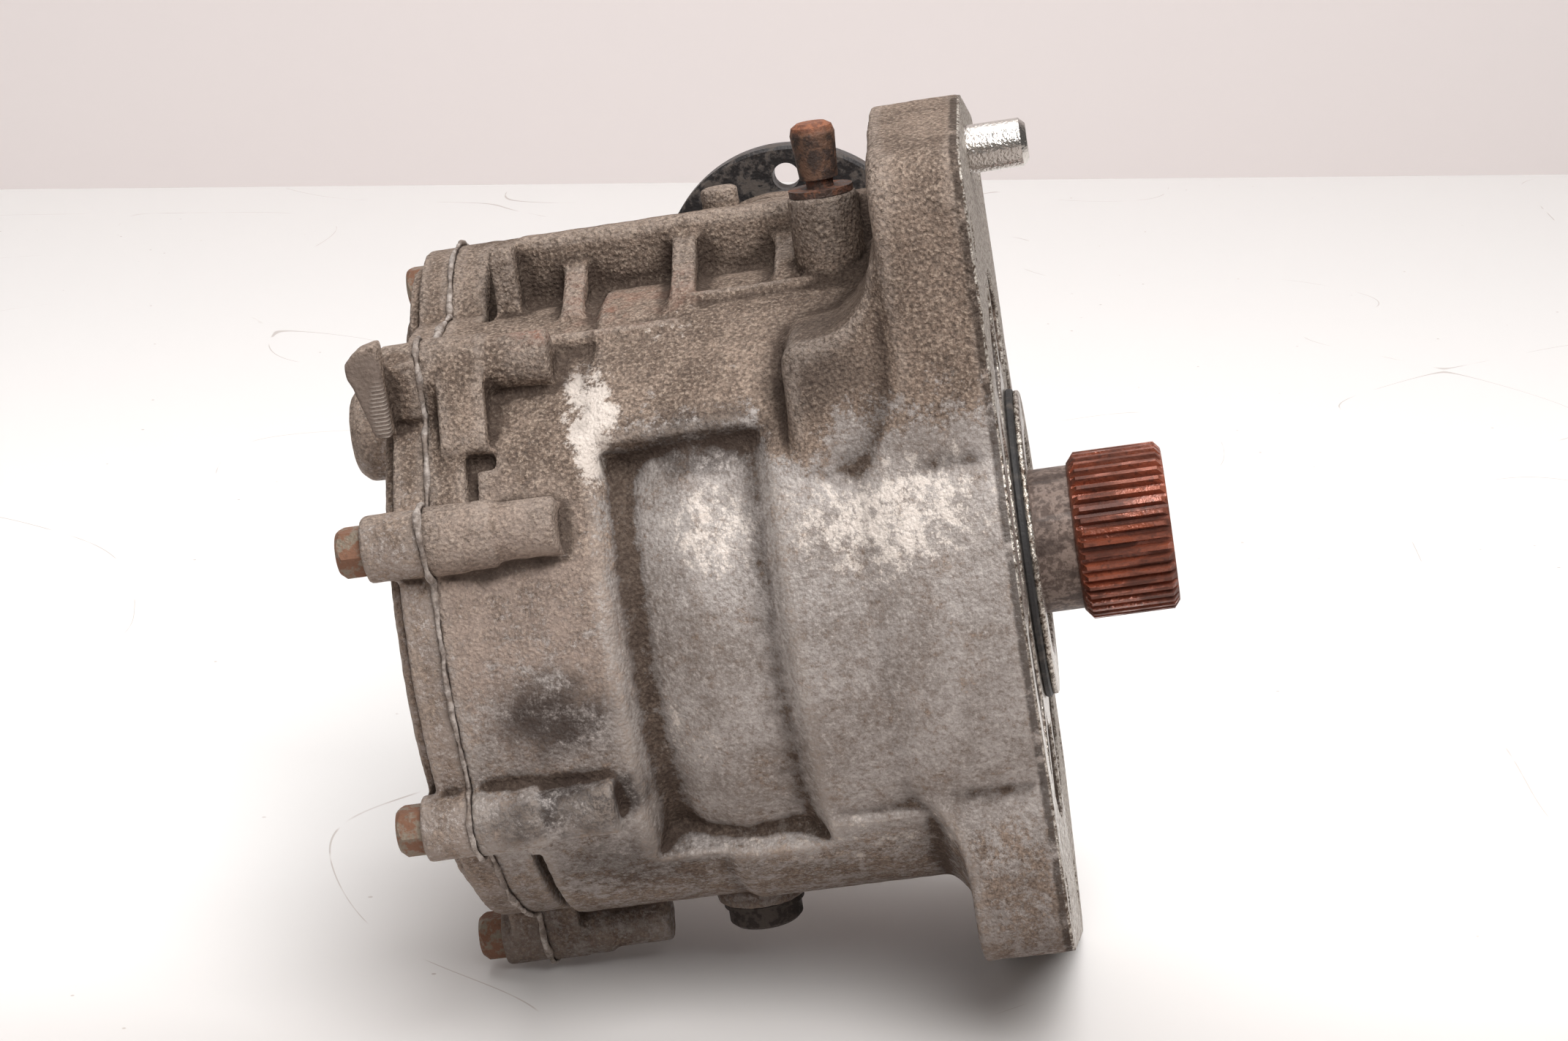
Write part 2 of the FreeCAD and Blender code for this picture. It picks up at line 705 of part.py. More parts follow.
def case_hollow():
    """Everything that is taken out of the main case."""
    cuts = [oil_space(), mating_recess()]
    cuts.append(disc_x(joint_x - 1, input_front_bearing_x, input_tube_r + 6.0))
    cuts.append(disc_x(joint_x - 1, counter_front_bearing_x - 2.0, chamber_r - case_wall + 1.5,
                       counter_y, counter_z))
    cuts += bevel_sweep(1.0)
    cuts.append(disc_x(input_front_bearing_x - 1, input_front_bearing_x + input_bearing_w, input_bearing_r))
    cuts.append(disc_x(input_front_bearing_x, -9.0, neck_r + 3.0))
    cuts.append(disc_x(-9.0, pilot_height + 1, pilot_bore_r))
    cuts.append(disc_x(0.0, pilot_ring_t, pilot_r + 1.0).cut(
        disc_x(-1.0, pilot_ring_t + 1.0, pilot_r - pilot_ring_depth)))
    cuts.append(disc_x(counter_front_bearing_x - 3, counter_front_bearing_x + counter_bearing_w,
                       counter_bearing_r, counter_y, counter_z))
    cuts.append(disc_y(head_bearing_y - 1, tower_end_y + 1, head_bearing_r))
    for y, z, _, _ in cover_bolts_at:
        cuts.append(disc_x(joint_x - 1, joint_x + bolt_reach, bolt_shank_r, y, z))
    for x, z in pinion_bolt_places():
        cuts.append(disc_y(tower_end_y - 20.0, tower_end_y + 1, bolt_shank_r, x, z))
    for y in (-mating_bolt_y, mating_bolt_y):
        for z in (mating_bolt_bottom_z, mating_bolt_top_z):
            cuts.append(disc_x(-60.0, 1.0, mating_bolt_r, y, z))
    for (y, z), r in ((dowel_place, dowel_stem_r), (dowel_hole_place, dowel_r)):
        cuts.append(disc_x(-dowel_depth, 1.0, r, y, z))
    cuts.append(disc_x(-dowel_neck, 1.0, dowel_r + dowel_neck, dowel_place[0], dowel_place[1]))
    cuts.append(disc_z(drain_seat_z - 1, -60.0, plug_thread_r, drain_x, drain_y))
    cuts.append(disc_y(55.0, fill_seat_y + 1, plug_thread_r, fill_x, fill_z))
    cuts.append(disc_z(60.0, breather_z + 1, breather_neck_r, breather_x, breather_y))
    return cuts


def make_main_case():
    body = case_outside()
    return body.cut(case_hollow())


def make_side_cover():
    face = joint_x - bead_t
    flange = joint_plate(face - cover_flange_t, face)
    plate = disc_x(face - cover_plate_t, face, joint_body_r - 6.0)
    shapes = [flange, plate,
              disc_x(face - cover_plate_t, face, chamber_r - 4.0, counter_y, counter_z),
              turned_x([(face, 0), (face, axle_hub_r + 6.0), (face - cover_plate_t, axle_hub_r + 6.0),
                        (axle_hub_face_x + 1.5, axle_hub_r), (axle_hub_face_x, axle_hub_r - 1.5),
                        (axle_hub_face_x, 0)]),
              turned_x([(face, 0), (face, counter_hub_r + 3.0), (counter_hub_face_x + 3.0, counter_hub_r),
                        (counter_hub_face_x, counter_hub_r - 3.0), (counter_hub_face_x, 0)],
                       counter_y, counter_z),
              turned_x([(face, 0), (face, end_cap_r), (end_cap_x + 3.0, end_cap_r - 0.6),
                        (end_cap_x, end_cap_r - 3.5), (end_cap_x, 0)], end_cap_y, end_cap_z)]
    for y, z, height, _ in cover_bolts_at:
        shapes.append(disc_x(face, face - height, boss_r, y, z))
    shapes += make_lug()
    cover = grown(shapes[0], shapes[1:])
    cuts = [disc_x(joint_x + 1, input_rear_bearing_x - shim_t, input_bearing_r),
            disc_x(joint_x + 1, axle_hub_face_x - 1, axle_bore_r + 5.0),
            disc_x(axle_hub_face_x - 1, axle_hub_face_x + axle_seal_t, axle_seal_r),
            disc_x(joint_x + 1, counter_rear_bearing_x - shim_t, counter_bearing_r, counter_y, counter_z)]
    for y, z, height, _ in cover_bolts_at:
        cuts.append(disc_x(joint_x + 1, face - height - 1, bolt_hole_r, y, z))
    return cover.cut(cuts)


def make_lug():
    """Bracket lug on the cover with its sloping machined pad."""
    outline = [(-157.0, 91.5), (-159.5, 91.5), (-163.0, 90.5), (-166.0, 87.5), (-166.4, 84.0), (-164.8, 81.0),
               (-161.6, 67.0), (-157.0, 66.5)]
    points = [vec(x, lug_y, z) for x, z in outline]
    lug = Part.Face(Part.makePolygon(points + points[:1])).extrude(vec(0, lug_t, 0))
    foot_y = lug_y + lug_t - 1.5
    foot = along_x([(foot_y, 70.0), (foot_y, 84.0), (foot_y + lug_foot_t, 86.0), (foot_y + lug_foot_t, 60.0)],
                   -159.5, joint_x - bead_t)
    return [lug, foot]


def make_sealant_bead():
    outer = joint_plate(joint_x - bead_t, joint_x, bead_proud)
    inner = joint_plate(joint_x - bead_t - 1, joint_x + 1, -bead_width)
    ring = outer.cut(inner)
    holes = [disc_x(joint_x - 2, joint_x + 2, bolt_hole_r, y, z) for y, z, _, _ in cover_bolts_at]
    return ring.cut(holes)


def make_cover_bolts():
    bolts = []
    face = joint_x - bead_t
    for y, z, height, _ in cover_bolts_at:
        seat = face - height
        shank = disc_x(seat - 1.0, joint_x + bolt_reach - 1.0, bolt_shank_r, y, z)
        bolts.append(hex_head_x(seat, bolt_head_h, bolt_head_flats, y, z).fuse(shank).removeSplitter())
    return Part.makeCompound(bolts)


def make_input_shaft():
    front_end = input_front_bearing_x + input_bearing_w
    profile = [(spline_start_x, axle_bore_r), (spline_start_x, neck_r), (front_end, neck_r),
               (front_end, input_seat_r), (input_front_bearing_x, input_seat_r),
               (input_front_bearing_x, input_tube_r), (spur_x + 6.0, input_tube_r),
               (spur_x + 6.0, input_collar_r), (spur_x, input_collar_r), (spur_x, input_gear_bore_r),
               (spur_x - spur_width, input_gear_bore_r), (spur_x - spur_width, input_tube_r),
               (input_rear_bearing_x + input_bearing_w, input_tube_r),
               (input_rear_bearing_x + input_bearing_w, input_seat_r),
               (input_rear_bearing_x, input_seat_r), (input_rear_bearing_x, axle_bore_r)]
    tube = turned_x(profile)
    return tube.fuse(make_spline()).removeSplitter()


def spline_section(x):
    """Closed outline of the spline at X."""
    pitch = 2.0 * math.pi / spline_teeth
    points = []
    for i in range(spline_teeth):
        for r, share in ((spline_root_r, -0.36), (spline_tip_r, -0.17), (spline_tip_r, 0.17),
                         (spline_root_r, 0.36)):
            a = (i + share) * pitch
            points.append(vec(x, r * math.cos(a), r * math.sin(a)))
    return Part.makePolygon(points + points[:1])


def make_spline():
    """Toothed end of the input shaft, turned off to a taper at both ends."""
    teeth = Part.Face(spline_section(spline_start_x)).extrude(vec(spline_end_x - spline_start_x, 0, 0))
    tip = spline_tip_r + run_gap
    return teeth.common(turned_x([
        (spline_start_x, axle_bore_r), (spline_start_x, spline_root_r - 1.0), (spline_start_x + 2.5, tip),
        (spline_end_x - 2.0, tip), (spline_end_x, spline_root_r - 0.3), (spline_end_x, axle_bore_r)]))


def make_countershaft():
    front_end = counter_front_bearing_x + counter_bearing_w
    rear_start = counter_rear_bearing_x + counter_bearing_w
    profile = [(front_end, 0), (front_end, counter_seat_r), (counter_front_bearing_x, counter_seat_r),
               (counter_front_bearing_x, counter_tube_r), (pinion_x - 14.0, counter_tube_r),
               (rear_start, counter_tube_r), (rear_start, counter_seat_r),
               (counter_rear_bearing_x, counter_seat_r), (counter_rear_bearing_x, 0)]
    return turned_x(profile, counter_y, counter_z)


def make_ring_gear():
    """Bevel ring gear on the countershaft, toothed towards the pinion."""
    tip, tip_in, root, root_in = bevel_ends(ring_teeth, pinion_teeth)
    back = root[0] + ring_back_t
    blank = turned_x([(pinion_x - h, r) for h, r in (
        (root_in[0] - 1.0, counter_tube_r), (root_in[0] - 1.0, root_in[1] - 2.0), root_in, tip_in, tip, root,
        (back - 2.0, root[1]), (back, root[1] - 2.0), (back, counter_tube_r))], counter_y, counter_z)
    far, near = root[0] + 12.0, tip_in[0] - 4.0
    rings = []
    for height in (near, far):
        rings.append([vec(pinion_x - height, counter_y + u, counter_z + v)
                      for u, v in bevel_section(ring_teeth, pinion_teeth, height, 0.0)])
    teeth = skin(rings)
    plate = disc_x(pinion_x - root[0] + 1.5, pinion_x - back, root[1] - 2.5, counter_y, counter_z)
    return teeth.common(blank).fuse(plate.common(blank)).removeSplitter()


def make_pinion_shaft():
    """Bevel pinion with its stepped shaft, spline seat and thread."""
    tip, tip_in, root, root_in = bevel_ends(pinion_teeth, ring_teeth)
    base = counter_y
    neck = base + root[0] + 1.5
    blank = turned_y([(base + root_in[0] - 1.0, 0), (base + root_in[0] - 1.0, root_in[1] - 1.5),
                      (base + root_in[0], root_in[1]), (base + tip_in[0], tip_in[1]),
                      (base + tip[0], tip[1]), (base + root[0], root[1]), (neck, root[1]), (neck, 0)])
    rings = []
    half_pitch = math.pi / pinion_teeth
    for height in (tip_in[0] - 4.0, root[0] + 6.0):
        rings.append([vec(pinion_x - u, base + height, counter_z + v)
                      for u, v in bevel_section(pinion_teeth, ring_teeth, height, half_pitch)])
    head = skin(rings).common(blank)
    tail_end = tail_bearing_y + tail_bearing_w
    nut_end = output_face_y - output_recess_depth + 9.0
    stem = turned_y([(base + root_in[0] + 3.0, 0), (base + root_in[0] + 3.0, root_in[1] - 4.0),
                     (neck - 1.0, root[1] - 4.0), (neck - 1.0, root[1]), (head_bearing_y, root[1]),
                     (head_bearing_y, head_seat_r), (pinion_shoulder_y, head_seat_r),
                     (pinion_shoulder_y, tail_seat_r), (tail_end, tail_seat_r),
                     (tail_end, pinion_spline_r), (output_face_y - output_recess_depth, pinion_spline_r),
                     (output_face_y - output_recess_depth, pinion_thread_r), (nut_end, pinion_thread_r),
                     (nut_end, 0)])
    return head.fuse(stem).removeSplitter()


def make_companion_flange():
    """Round output flange with its hub, recess, rim lip and bolt holes."""
    back = output_face_y - output_disc_t
    tail_end = tail_bearing_y + tail_bearing_w
    body = turned_y([(tail_end, pinion_spline_r), (tail_end, output_hub_r), (back - 5.0, output_hub_r),
                     (back, output_hub_r + 5.0), (back, output_disc_r - 1.0), (back + 1.0, output_disc_r),
                     (output_face_y - 1.0, output_disc_r), (output_face_y, output_disc_r - 1.0),
                     (output_face_y, output_recess_r), (output_face_y - output_recess_depth, output_recess_r),
                     (output_face_y - output_recess_depth, pinion_spline_r)])
    holes = []
    for i in range(output_bolt_count):
        a = math.radians(output_bolt_turn + 360.0 * i / output_bolt_count)
        holes.append(disc_y(back - 1, output_face_y + 1, output_bolt_r,
                            pinion_x + output_bolt_pcd / 2 * math.cos(a),
                            counter_z + output_bolt_pcd / 2 * math.sin(a)))
    return body.cut(holes)


def make_pinion_nut():
    seat = output_face_y - output_recess_depth
    nut = hex_head_y(seat + 1.5, 7.0, 27.0, pinion_x, counter_z)
    washer = disc_y(seat, seat + 1.5, 14.5)
    bore = disc_y(seat - 1, seat + 12, pinion_thread_r)
    return nut.fuse(washer).cut(bore)


def make_pinion_housing():
    """Bearing housing bolted to the back of the case, with four ears."""
    start = tower_end_y
    shapes = [disc_y(start, start + housing_flange_t, tower_r)]
    for x, z in pinion_bolt_places():
        shapes.append(disc_y(start, start + housing_flange_t, boss_r, x, z))
    shapes.append(turned_y([(start, 0), (start, housing_neck_r), (housing_end_y - 8.0, housing_neck_r - 3.0),
                            (housing_end_y, housing_neck_r - 5.0), (housing_end_y, 0)]))
    shapes.append(disc_y(spigot_y, start + 2.0, head_bearing_r))
    body = joined(shapes)
    cuts = [disc_y(spigot_y - 1, tail_bearing_y, tail_bearing_r - 4.0),
            disc_y(spigot_groove_y, spigot_groove_y + housing_ring_t, head_bearing_r + 1).cut(
                disc_y(spigot_y, start, head_bearing_r - housing_ring_t)),
            disc_y(tail_bearing_y, tail_bearing_y + tail_bearing_w, tail_bearing_r),
            disc_y(tail_bearing_y, housing_end_y + 1, output_hub_r + 6.5)]
    for x, z in pinion_bolt_places():
        cuts.append(disc_y(start - 1, start + housing_flange_t + 1, bolt_hole_r, x, z))
    return body.cut(cuts)


def make_housing_bolts():
    bolts = []
    seat = tower_end_y + housing_flange_t
    for x, z in pinion_bolt_places():
        shank = disc_y(tower_end_y - 18.0, seat + 1.0, bolt_shank_r, x, z)
        bolts.append(hex_head_y(seat, bolt_head_h, bolt_head_flats, x, z).fuse(shank).removeSplitter())
    return Part.makeCompound(bolts)


def seal_x(x0, x1, outer, inner):
    """Lip seal round an X axis: a steel-backed ring with a sloping lip."""
    third = (x1 - x0) / 3.0
    return turned_x([(x0, outer), (x1, outer), (x1, inner + 3.0), (x1 - third, inner + 2.0),
                     (x1 - third, inner), (x0 + third, inner + 1.2), (x0, inner + 3.0)])


def soft_ring_x(x, width, inner, outer):
    """Sealing ring along X that lies on the floor of its groove, with soft outer edges."""
    edge = width / 4.0
    return turned_x([(x, inner), (x + width, inner), (x + width, outer - edge), (x + width - edge, outer),
                     (x + edge, outer), (x, outer - edge)])


def flat_ring_x(x, width, inner, outer):
    """Flat ring along X."""
    return disc_x(x, x + width, outer).cut(disc_x(x - 1, x + width + 1, inner))


def make_pinion_spacer():
    """Crushable sleeve with a bulge, between the shaft's shoulder and the tail bearing."""
    start, end = pinion_shoulder_y, tail_bearing_y
    third, middle = (end - start) / 3.0, (start + end) / 2.0
    bore = tail_seat_r + run_gap
    return turned_y([(start, bore), (start, spacer_r), (start + third, spacer_r), (middle, spacer_bulge_r),
                     (end - third, spacer_r), (end, spacer_r), (end, bore)])


def make_dust_deflector():
    """Pressed steel ring on the companion flange's hub that covers the oil seal."""
    plate = housing_end_y + run_gap
    back = plate + deflector_t
    return turned_y([(plate, output_hub_r), (plate, deflector_r - deflector_t),
                     (deflector_y, deflector_r - deflector_t), (deflector_y, deflector_r),
                     (back, deflector_r), (back, output_hub_r)])


def make_dowel():
    y, z = dowel_place
    return turned_x([(-dowel_depth, 0), (-dowel_depth, dowel_stem_r), (dowel_neck, dowel_stem_r),
                     (dowel_neck, dowel_r), (dowel_height - 1.6, dowel_r), (dowel_height, dowel_r - 1.6),
                     (dowel_height, 0)], y, z)


def make_breather_stem():
    top = breather_z + breather_washer_t
    return turned_z([(breather_z - 12.0, 0), (breather_z - 12.0, breather_neck_r),
                     (top + breather_neck_h, breather_neck_r), (top + breather_neck_h + 8.0, breather_neck_r - 1.2),
                     (top + breather_neck_h + 8.0, 0)], breather_x, breather_y)


def make_breather_washer():
    return turned_z([(breather_z, breather_neck_r), (breather_z, breather_washer_r),
                     (breather_z + breather_washer_t, breather_washer_r),
                     (breather_z + breather_washer_t, breather_neck_r)], breather_x, breather_y)


def make_breather_cap():
    low = breather_z + breather_washer_t + breather_neck_h - 2.0
    inner = breather_neck_r + run_gap
    top = low + breather_cap_h
    roof = breather_z + breather_washer_t + breather_neck_h + 8.0 + run_gap
    return turned_z([(low, inner), (low, breather_cap_foot_r), (top - 3.0, breather_cap_r),
                     (top - 1.0, breather_cap_r - 0.6), (top, breather_cap_r - 2.2), (top, 0),
                     (roof, 0), (roof, inner)], breather_x, breather_y)


def make_plug():
    """Screw plug along Z with its washer face at Z 0 and its head below, and its washer."""
    head = turned_z([(-plug_washer_t, 0), (-plug_washer_t, drain_plug_r - 1.0),
                     (1.0 - plug_washer_t - plug_head_h, drain_plug_r - 1.0),
                     (-plug_washer_t - plug_head_h, drain_plug_r - 2.0), (-plug_washer_t - plug_head_h, 0)], 0, 0)
    points = [vec(u, v, -plug_washer_t - plug_head_h) for u, v in hexagon(plug_socket)]
    socket = Part.Face(Part.makePolygon(points + points[:1])).extrude(vec(0, 0, plug_head_h + 2.0))
    thread = disc_z(-plug_washer_t - 1.0, plug_length, plug_thread_r, 0, 0)
    washer = disc_z(-plug_washer_t, 0, drain_plug_r, 0, 0).cut(disc_z(-5, 5, plug_thread_r, 0, 0))
    return head.fuse(thread).removeSplitter().cut(socket), washer


def drain_place(shape):
    """Put a plug part on the drain boss below the barrel."""
    moved = shape.copy()
    moved.translate(vec(drain_x, drain_y, drain_seat_z))
    return moved


def fill_place(shape):
    """Put a plug part on the fill boss at the back of the barrel."""
    moved = shape.copy()
    moved.rotate(vec(0, 0, 0), vec(1, 0, 0), 90)
    moved.translate(vec(fill_x, fill_seat_y, fill_z))
    return moved


plug, plug_washer = make_plug()

# Bearings
input_front_cone, input_front_cup = taper_bearing(
    input_front_bearing_x, input_bearing_w, input_seat_r, input_bearing_r, 14, -1)
input_rear_cone, input_rear_cup = taper_bearing(
    input_rear_bearing_x, input_bearing_w, input_seat_r, input_bearing_r, 14, 1)
counter_front_cone, counter_front_cup = [on_countershaft(s) for s in taper_bearing(
    counter_front_bearing_x, counter_bearing_w, counter_seat_r, counter_bearing_r, 10, -1)]
counter_rear_cone, counter_rear_cup = [on_countershaft(s) for s in taper_bearing(
    counter_rear_bearing_x, counter_bearing_w, counter_seat_r, counter_bearing_r, 10, 1)]
head_cone, head_cup = [on_pinion(s) for s in taper_bearing(
    head_bearing_y, head_bearing_w, head_seat_r, head_bearing_r, 12, -1)]
tail_cone, tail_cup = [on_pinion(s) for s in taper_bearing(
    tail_bearing_y, tail_bearing_w, tail_seat_r, tail_bearing_r, 12, 1)]

mesh_angle = math.atan2(counter_z, counter_y)
ring_gear_back = pinion_x - bevel_ends(ring_teeth, pinion_teeth)[2][0] - ring_back_t

nodes = {
    "main_case": make_main_case(),
    "side_cover": make_side_cover(),
    "sealant_bead": make_sealant_bead(),
    "cover_bolts": make_cover_bolts(),
    "input_shaft": make_input_shaft(),
    "input_gear": spur_gear(input_teeth, mesh_angle, 0.0, 0.0, input_gear_bore_r),
    "counter_gear": spur_gear(counter_teeth, mesh_angle + math.pi + math.pi / counter_teeth,
                              counter_y, counter_z, counter_gear_bore_r),
    "countershaft": make_countershaft(),
    "ring_gear": make_ring_gear(),
    "pinion_shaft": make_pinion_shaft(),
    "companion_flange": make_companion_flange(),
    "pinion_nut": make_pinion_nut(),
    "pinion_housing": make_pinion_housing(),
    "pinion_housing_bolts": make_housing_bolts(),
    "input_front_bearing_cone": input_front_cone,
    "input_front_bearing_cup": input_front_cup,
    "input_rear_bearing_cone": input_rear_cone,
    "input_rear_bearing_cup": input_rear_cup,
    "counter_front_bearing_cone": counter_front_cone,
    "counter_front_bearing_cup": counter_front_cup,
    "counter_rear_bearing_cone": counter_rear_cone,
    "counter_rear_bearing_cup": counter_rear_cup,
    "pinion_head_bearing_cone": head_cone,
    "pinion_head_bearing_cup": head_cup,
    "pinion_tail_bearing_cone": tail_cone,
    "pinion_tail_bearing_cup": tail_cup,
    "input_oil_seal": seal_x(-9.0, 0.0, pilot_bore_r, neck_r + run_gap),
    "axle_oil_seal": seal_x(axle_hub_face_x, axle_hub_face_x + axle_seal_t, axle_seal_r,
                            axle_bore_r + 0.5),
    "dowel_pin": make_dowel(),
    "breather_stem": make_breather_stem(),
    "breather_washer": make_breather_washer(),
    "breather_cap": make_breather_cap(),
    "drain_plug": drain_place(plug),
    "drain_washer": drain_place(plug_washer),
    "fill_plug": fill_place(plug),
    "fill_washer": fill_place(plug_washer),
    "pinion_oil_seal": on_pinion(seal_x(tail_bearing_y + tail_bearing_w + 0.5, housing_end_y, output_hub_r + 6.5,
                                        output_hub_r + run_gap)),
    "pinion_spacer": make_pinion_spacer(),
    "dust_deflector": make_dust_deflector(),
    "housing_o_ring": on_pinion(soft_ring_x(spigot_groove_y, housing_ring_t, head_bearing_r - housing_ring_t,
                                            head_bearing_r)),
    "pilot_o_ring": soft_ring_x(0.0, pilot_ring_t, pilot_r - pilot_ring_depth, pilot_r + pilot_ring_proud),
    "pinion_shim": on_pinion(flat_ring_x(spigot_y - shim_t, shim_t, head_bearing_r - 4.0, head_bearing_r)),
    "input_shim": flat_ring_x(input_rear_bearing_x - shim_t, shim_t, input_bearing_r - 4.0, input_bearing_r),
    "counter_shim": on_countershaft(flat_ring_x(counter_rear_bearing_x - shim_t, shim_t,
                                                counter_bearing_r - 4.0, counter_bearing_r)),
    "input_lock_ring": flat_ring_x(spur_x - spur_width - lock_ring_t, lock_ring_t, input_tube_r,
                                   input_tube_r + lock_ring_h),
    "counter_lock_ring": on_countershaft(flat_ring_x(
        spur_x - spur_width - lock_ring_t, lock_ring_t, counter_tube_r, counter_tube_r + lock_ring_h)),
    "counter_spacer": on_countershaft(flat_ring_x(spur_x, ring_gear_back - spur_x, counter_tube_r,
                                                  counter_tube_r + spacer_wall)),
}

for name, shape in nodes.items():
    shape.exportStep("parts/%s.step" % name)
    print(name, "solids", len(shape.Solids), "valid", shape.isValid(), "volume", round(shape.Volume))
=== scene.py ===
import bpy
import bmesh
import math
import numpy as np
from mathutils import Matrix, Vector, noise


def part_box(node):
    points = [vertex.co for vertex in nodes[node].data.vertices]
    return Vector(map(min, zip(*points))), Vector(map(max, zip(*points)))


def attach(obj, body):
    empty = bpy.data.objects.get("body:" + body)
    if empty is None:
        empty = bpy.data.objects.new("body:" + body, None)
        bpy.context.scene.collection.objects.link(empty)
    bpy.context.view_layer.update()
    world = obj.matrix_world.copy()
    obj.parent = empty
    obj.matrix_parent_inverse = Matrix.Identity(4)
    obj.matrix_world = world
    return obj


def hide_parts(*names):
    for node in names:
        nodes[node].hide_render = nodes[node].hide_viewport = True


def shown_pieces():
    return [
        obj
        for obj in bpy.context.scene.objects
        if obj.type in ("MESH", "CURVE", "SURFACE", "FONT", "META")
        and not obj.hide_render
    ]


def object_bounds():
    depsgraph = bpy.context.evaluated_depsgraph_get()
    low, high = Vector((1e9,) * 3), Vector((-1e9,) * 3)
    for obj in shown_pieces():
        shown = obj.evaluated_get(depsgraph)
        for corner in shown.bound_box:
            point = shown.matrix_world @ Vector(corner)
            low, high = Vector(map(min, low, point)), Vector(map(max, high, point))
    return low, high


# Weathered power transfer unit on a pale table. Metres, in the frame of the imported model:
# +X out of the mating face, +Y towards the output flange, +Z towards the breather.

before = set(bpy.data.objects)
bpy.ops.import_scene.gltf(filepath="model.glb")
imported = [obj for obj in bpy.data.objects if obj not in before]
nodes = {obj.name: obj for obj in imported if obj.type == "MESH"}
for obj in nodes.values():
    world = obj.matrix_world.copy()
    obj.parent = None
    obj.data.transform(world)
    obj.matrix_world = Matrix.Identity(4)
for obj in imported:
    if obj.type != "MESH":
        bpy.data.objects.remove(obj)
cad_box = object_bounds()

# Metres per millimetre
mm = 0.001

# Places read from the frame: the joint between case and cover, and the top of the breather's cap
joint_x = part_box("main_case")[0].x
cap_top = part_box("breather_cap")[1].z

# Camera, fitted to the photograph, whose frame is 2144 by 1424 pixels
photo_width, photo_height = 2144, 1424
focal_px = 4555.0
camera_distance = 0.925
camera_azimuth = math.radians(6.0)
camera_elevation = math.radians(14.0)
camera_roll = math.radians(9.2)
origin_px = (1402.0, 743.0)
sensor_width = 36.0

# Table and wall: the unit leans on a cover boss and on the foot of its flange
floor_up = Vector((0.157, -0.020, 0.987)).normalized()
floor_size = 6.0
wall_height = 3.0
wall_distance = 1.28
wall_turn = math.radians(3.2)

# Copies of the castings: their voxels, and the smoothing passes that round the edges,
# that draw the wide curves, and that find the hollows
case_voxel = 0.85 * mm
cover_voxel = 0.75 * mm
fillet_passes = 4
flow_passes = 36
hollow_passes = 90

# Lumps of the castings: height, width and place in the noise
cast_lumps = ((0.14 * mm, 0.0032, 3.0), (0.22 * mm, 0.014, 7.0))

# Sealant strand: distance between its rings, corners of a ring, and its least radius
strand_gap = 0.9 * mm
strand_sides = 8
strand_least = 0.16 * mm


def srgb(red, green, blue):
    """Linear colour from the 0 to 255 values that a screen shows."""
    out = []
    for value in (red, green, blue):
        c = value / 255.0
        out.append(c / 12.92 if c <= 0.04045 else ((c + 0.055) / 1.055) ** 2.4)
    return (out[0], out[1], out[2], 1.0)


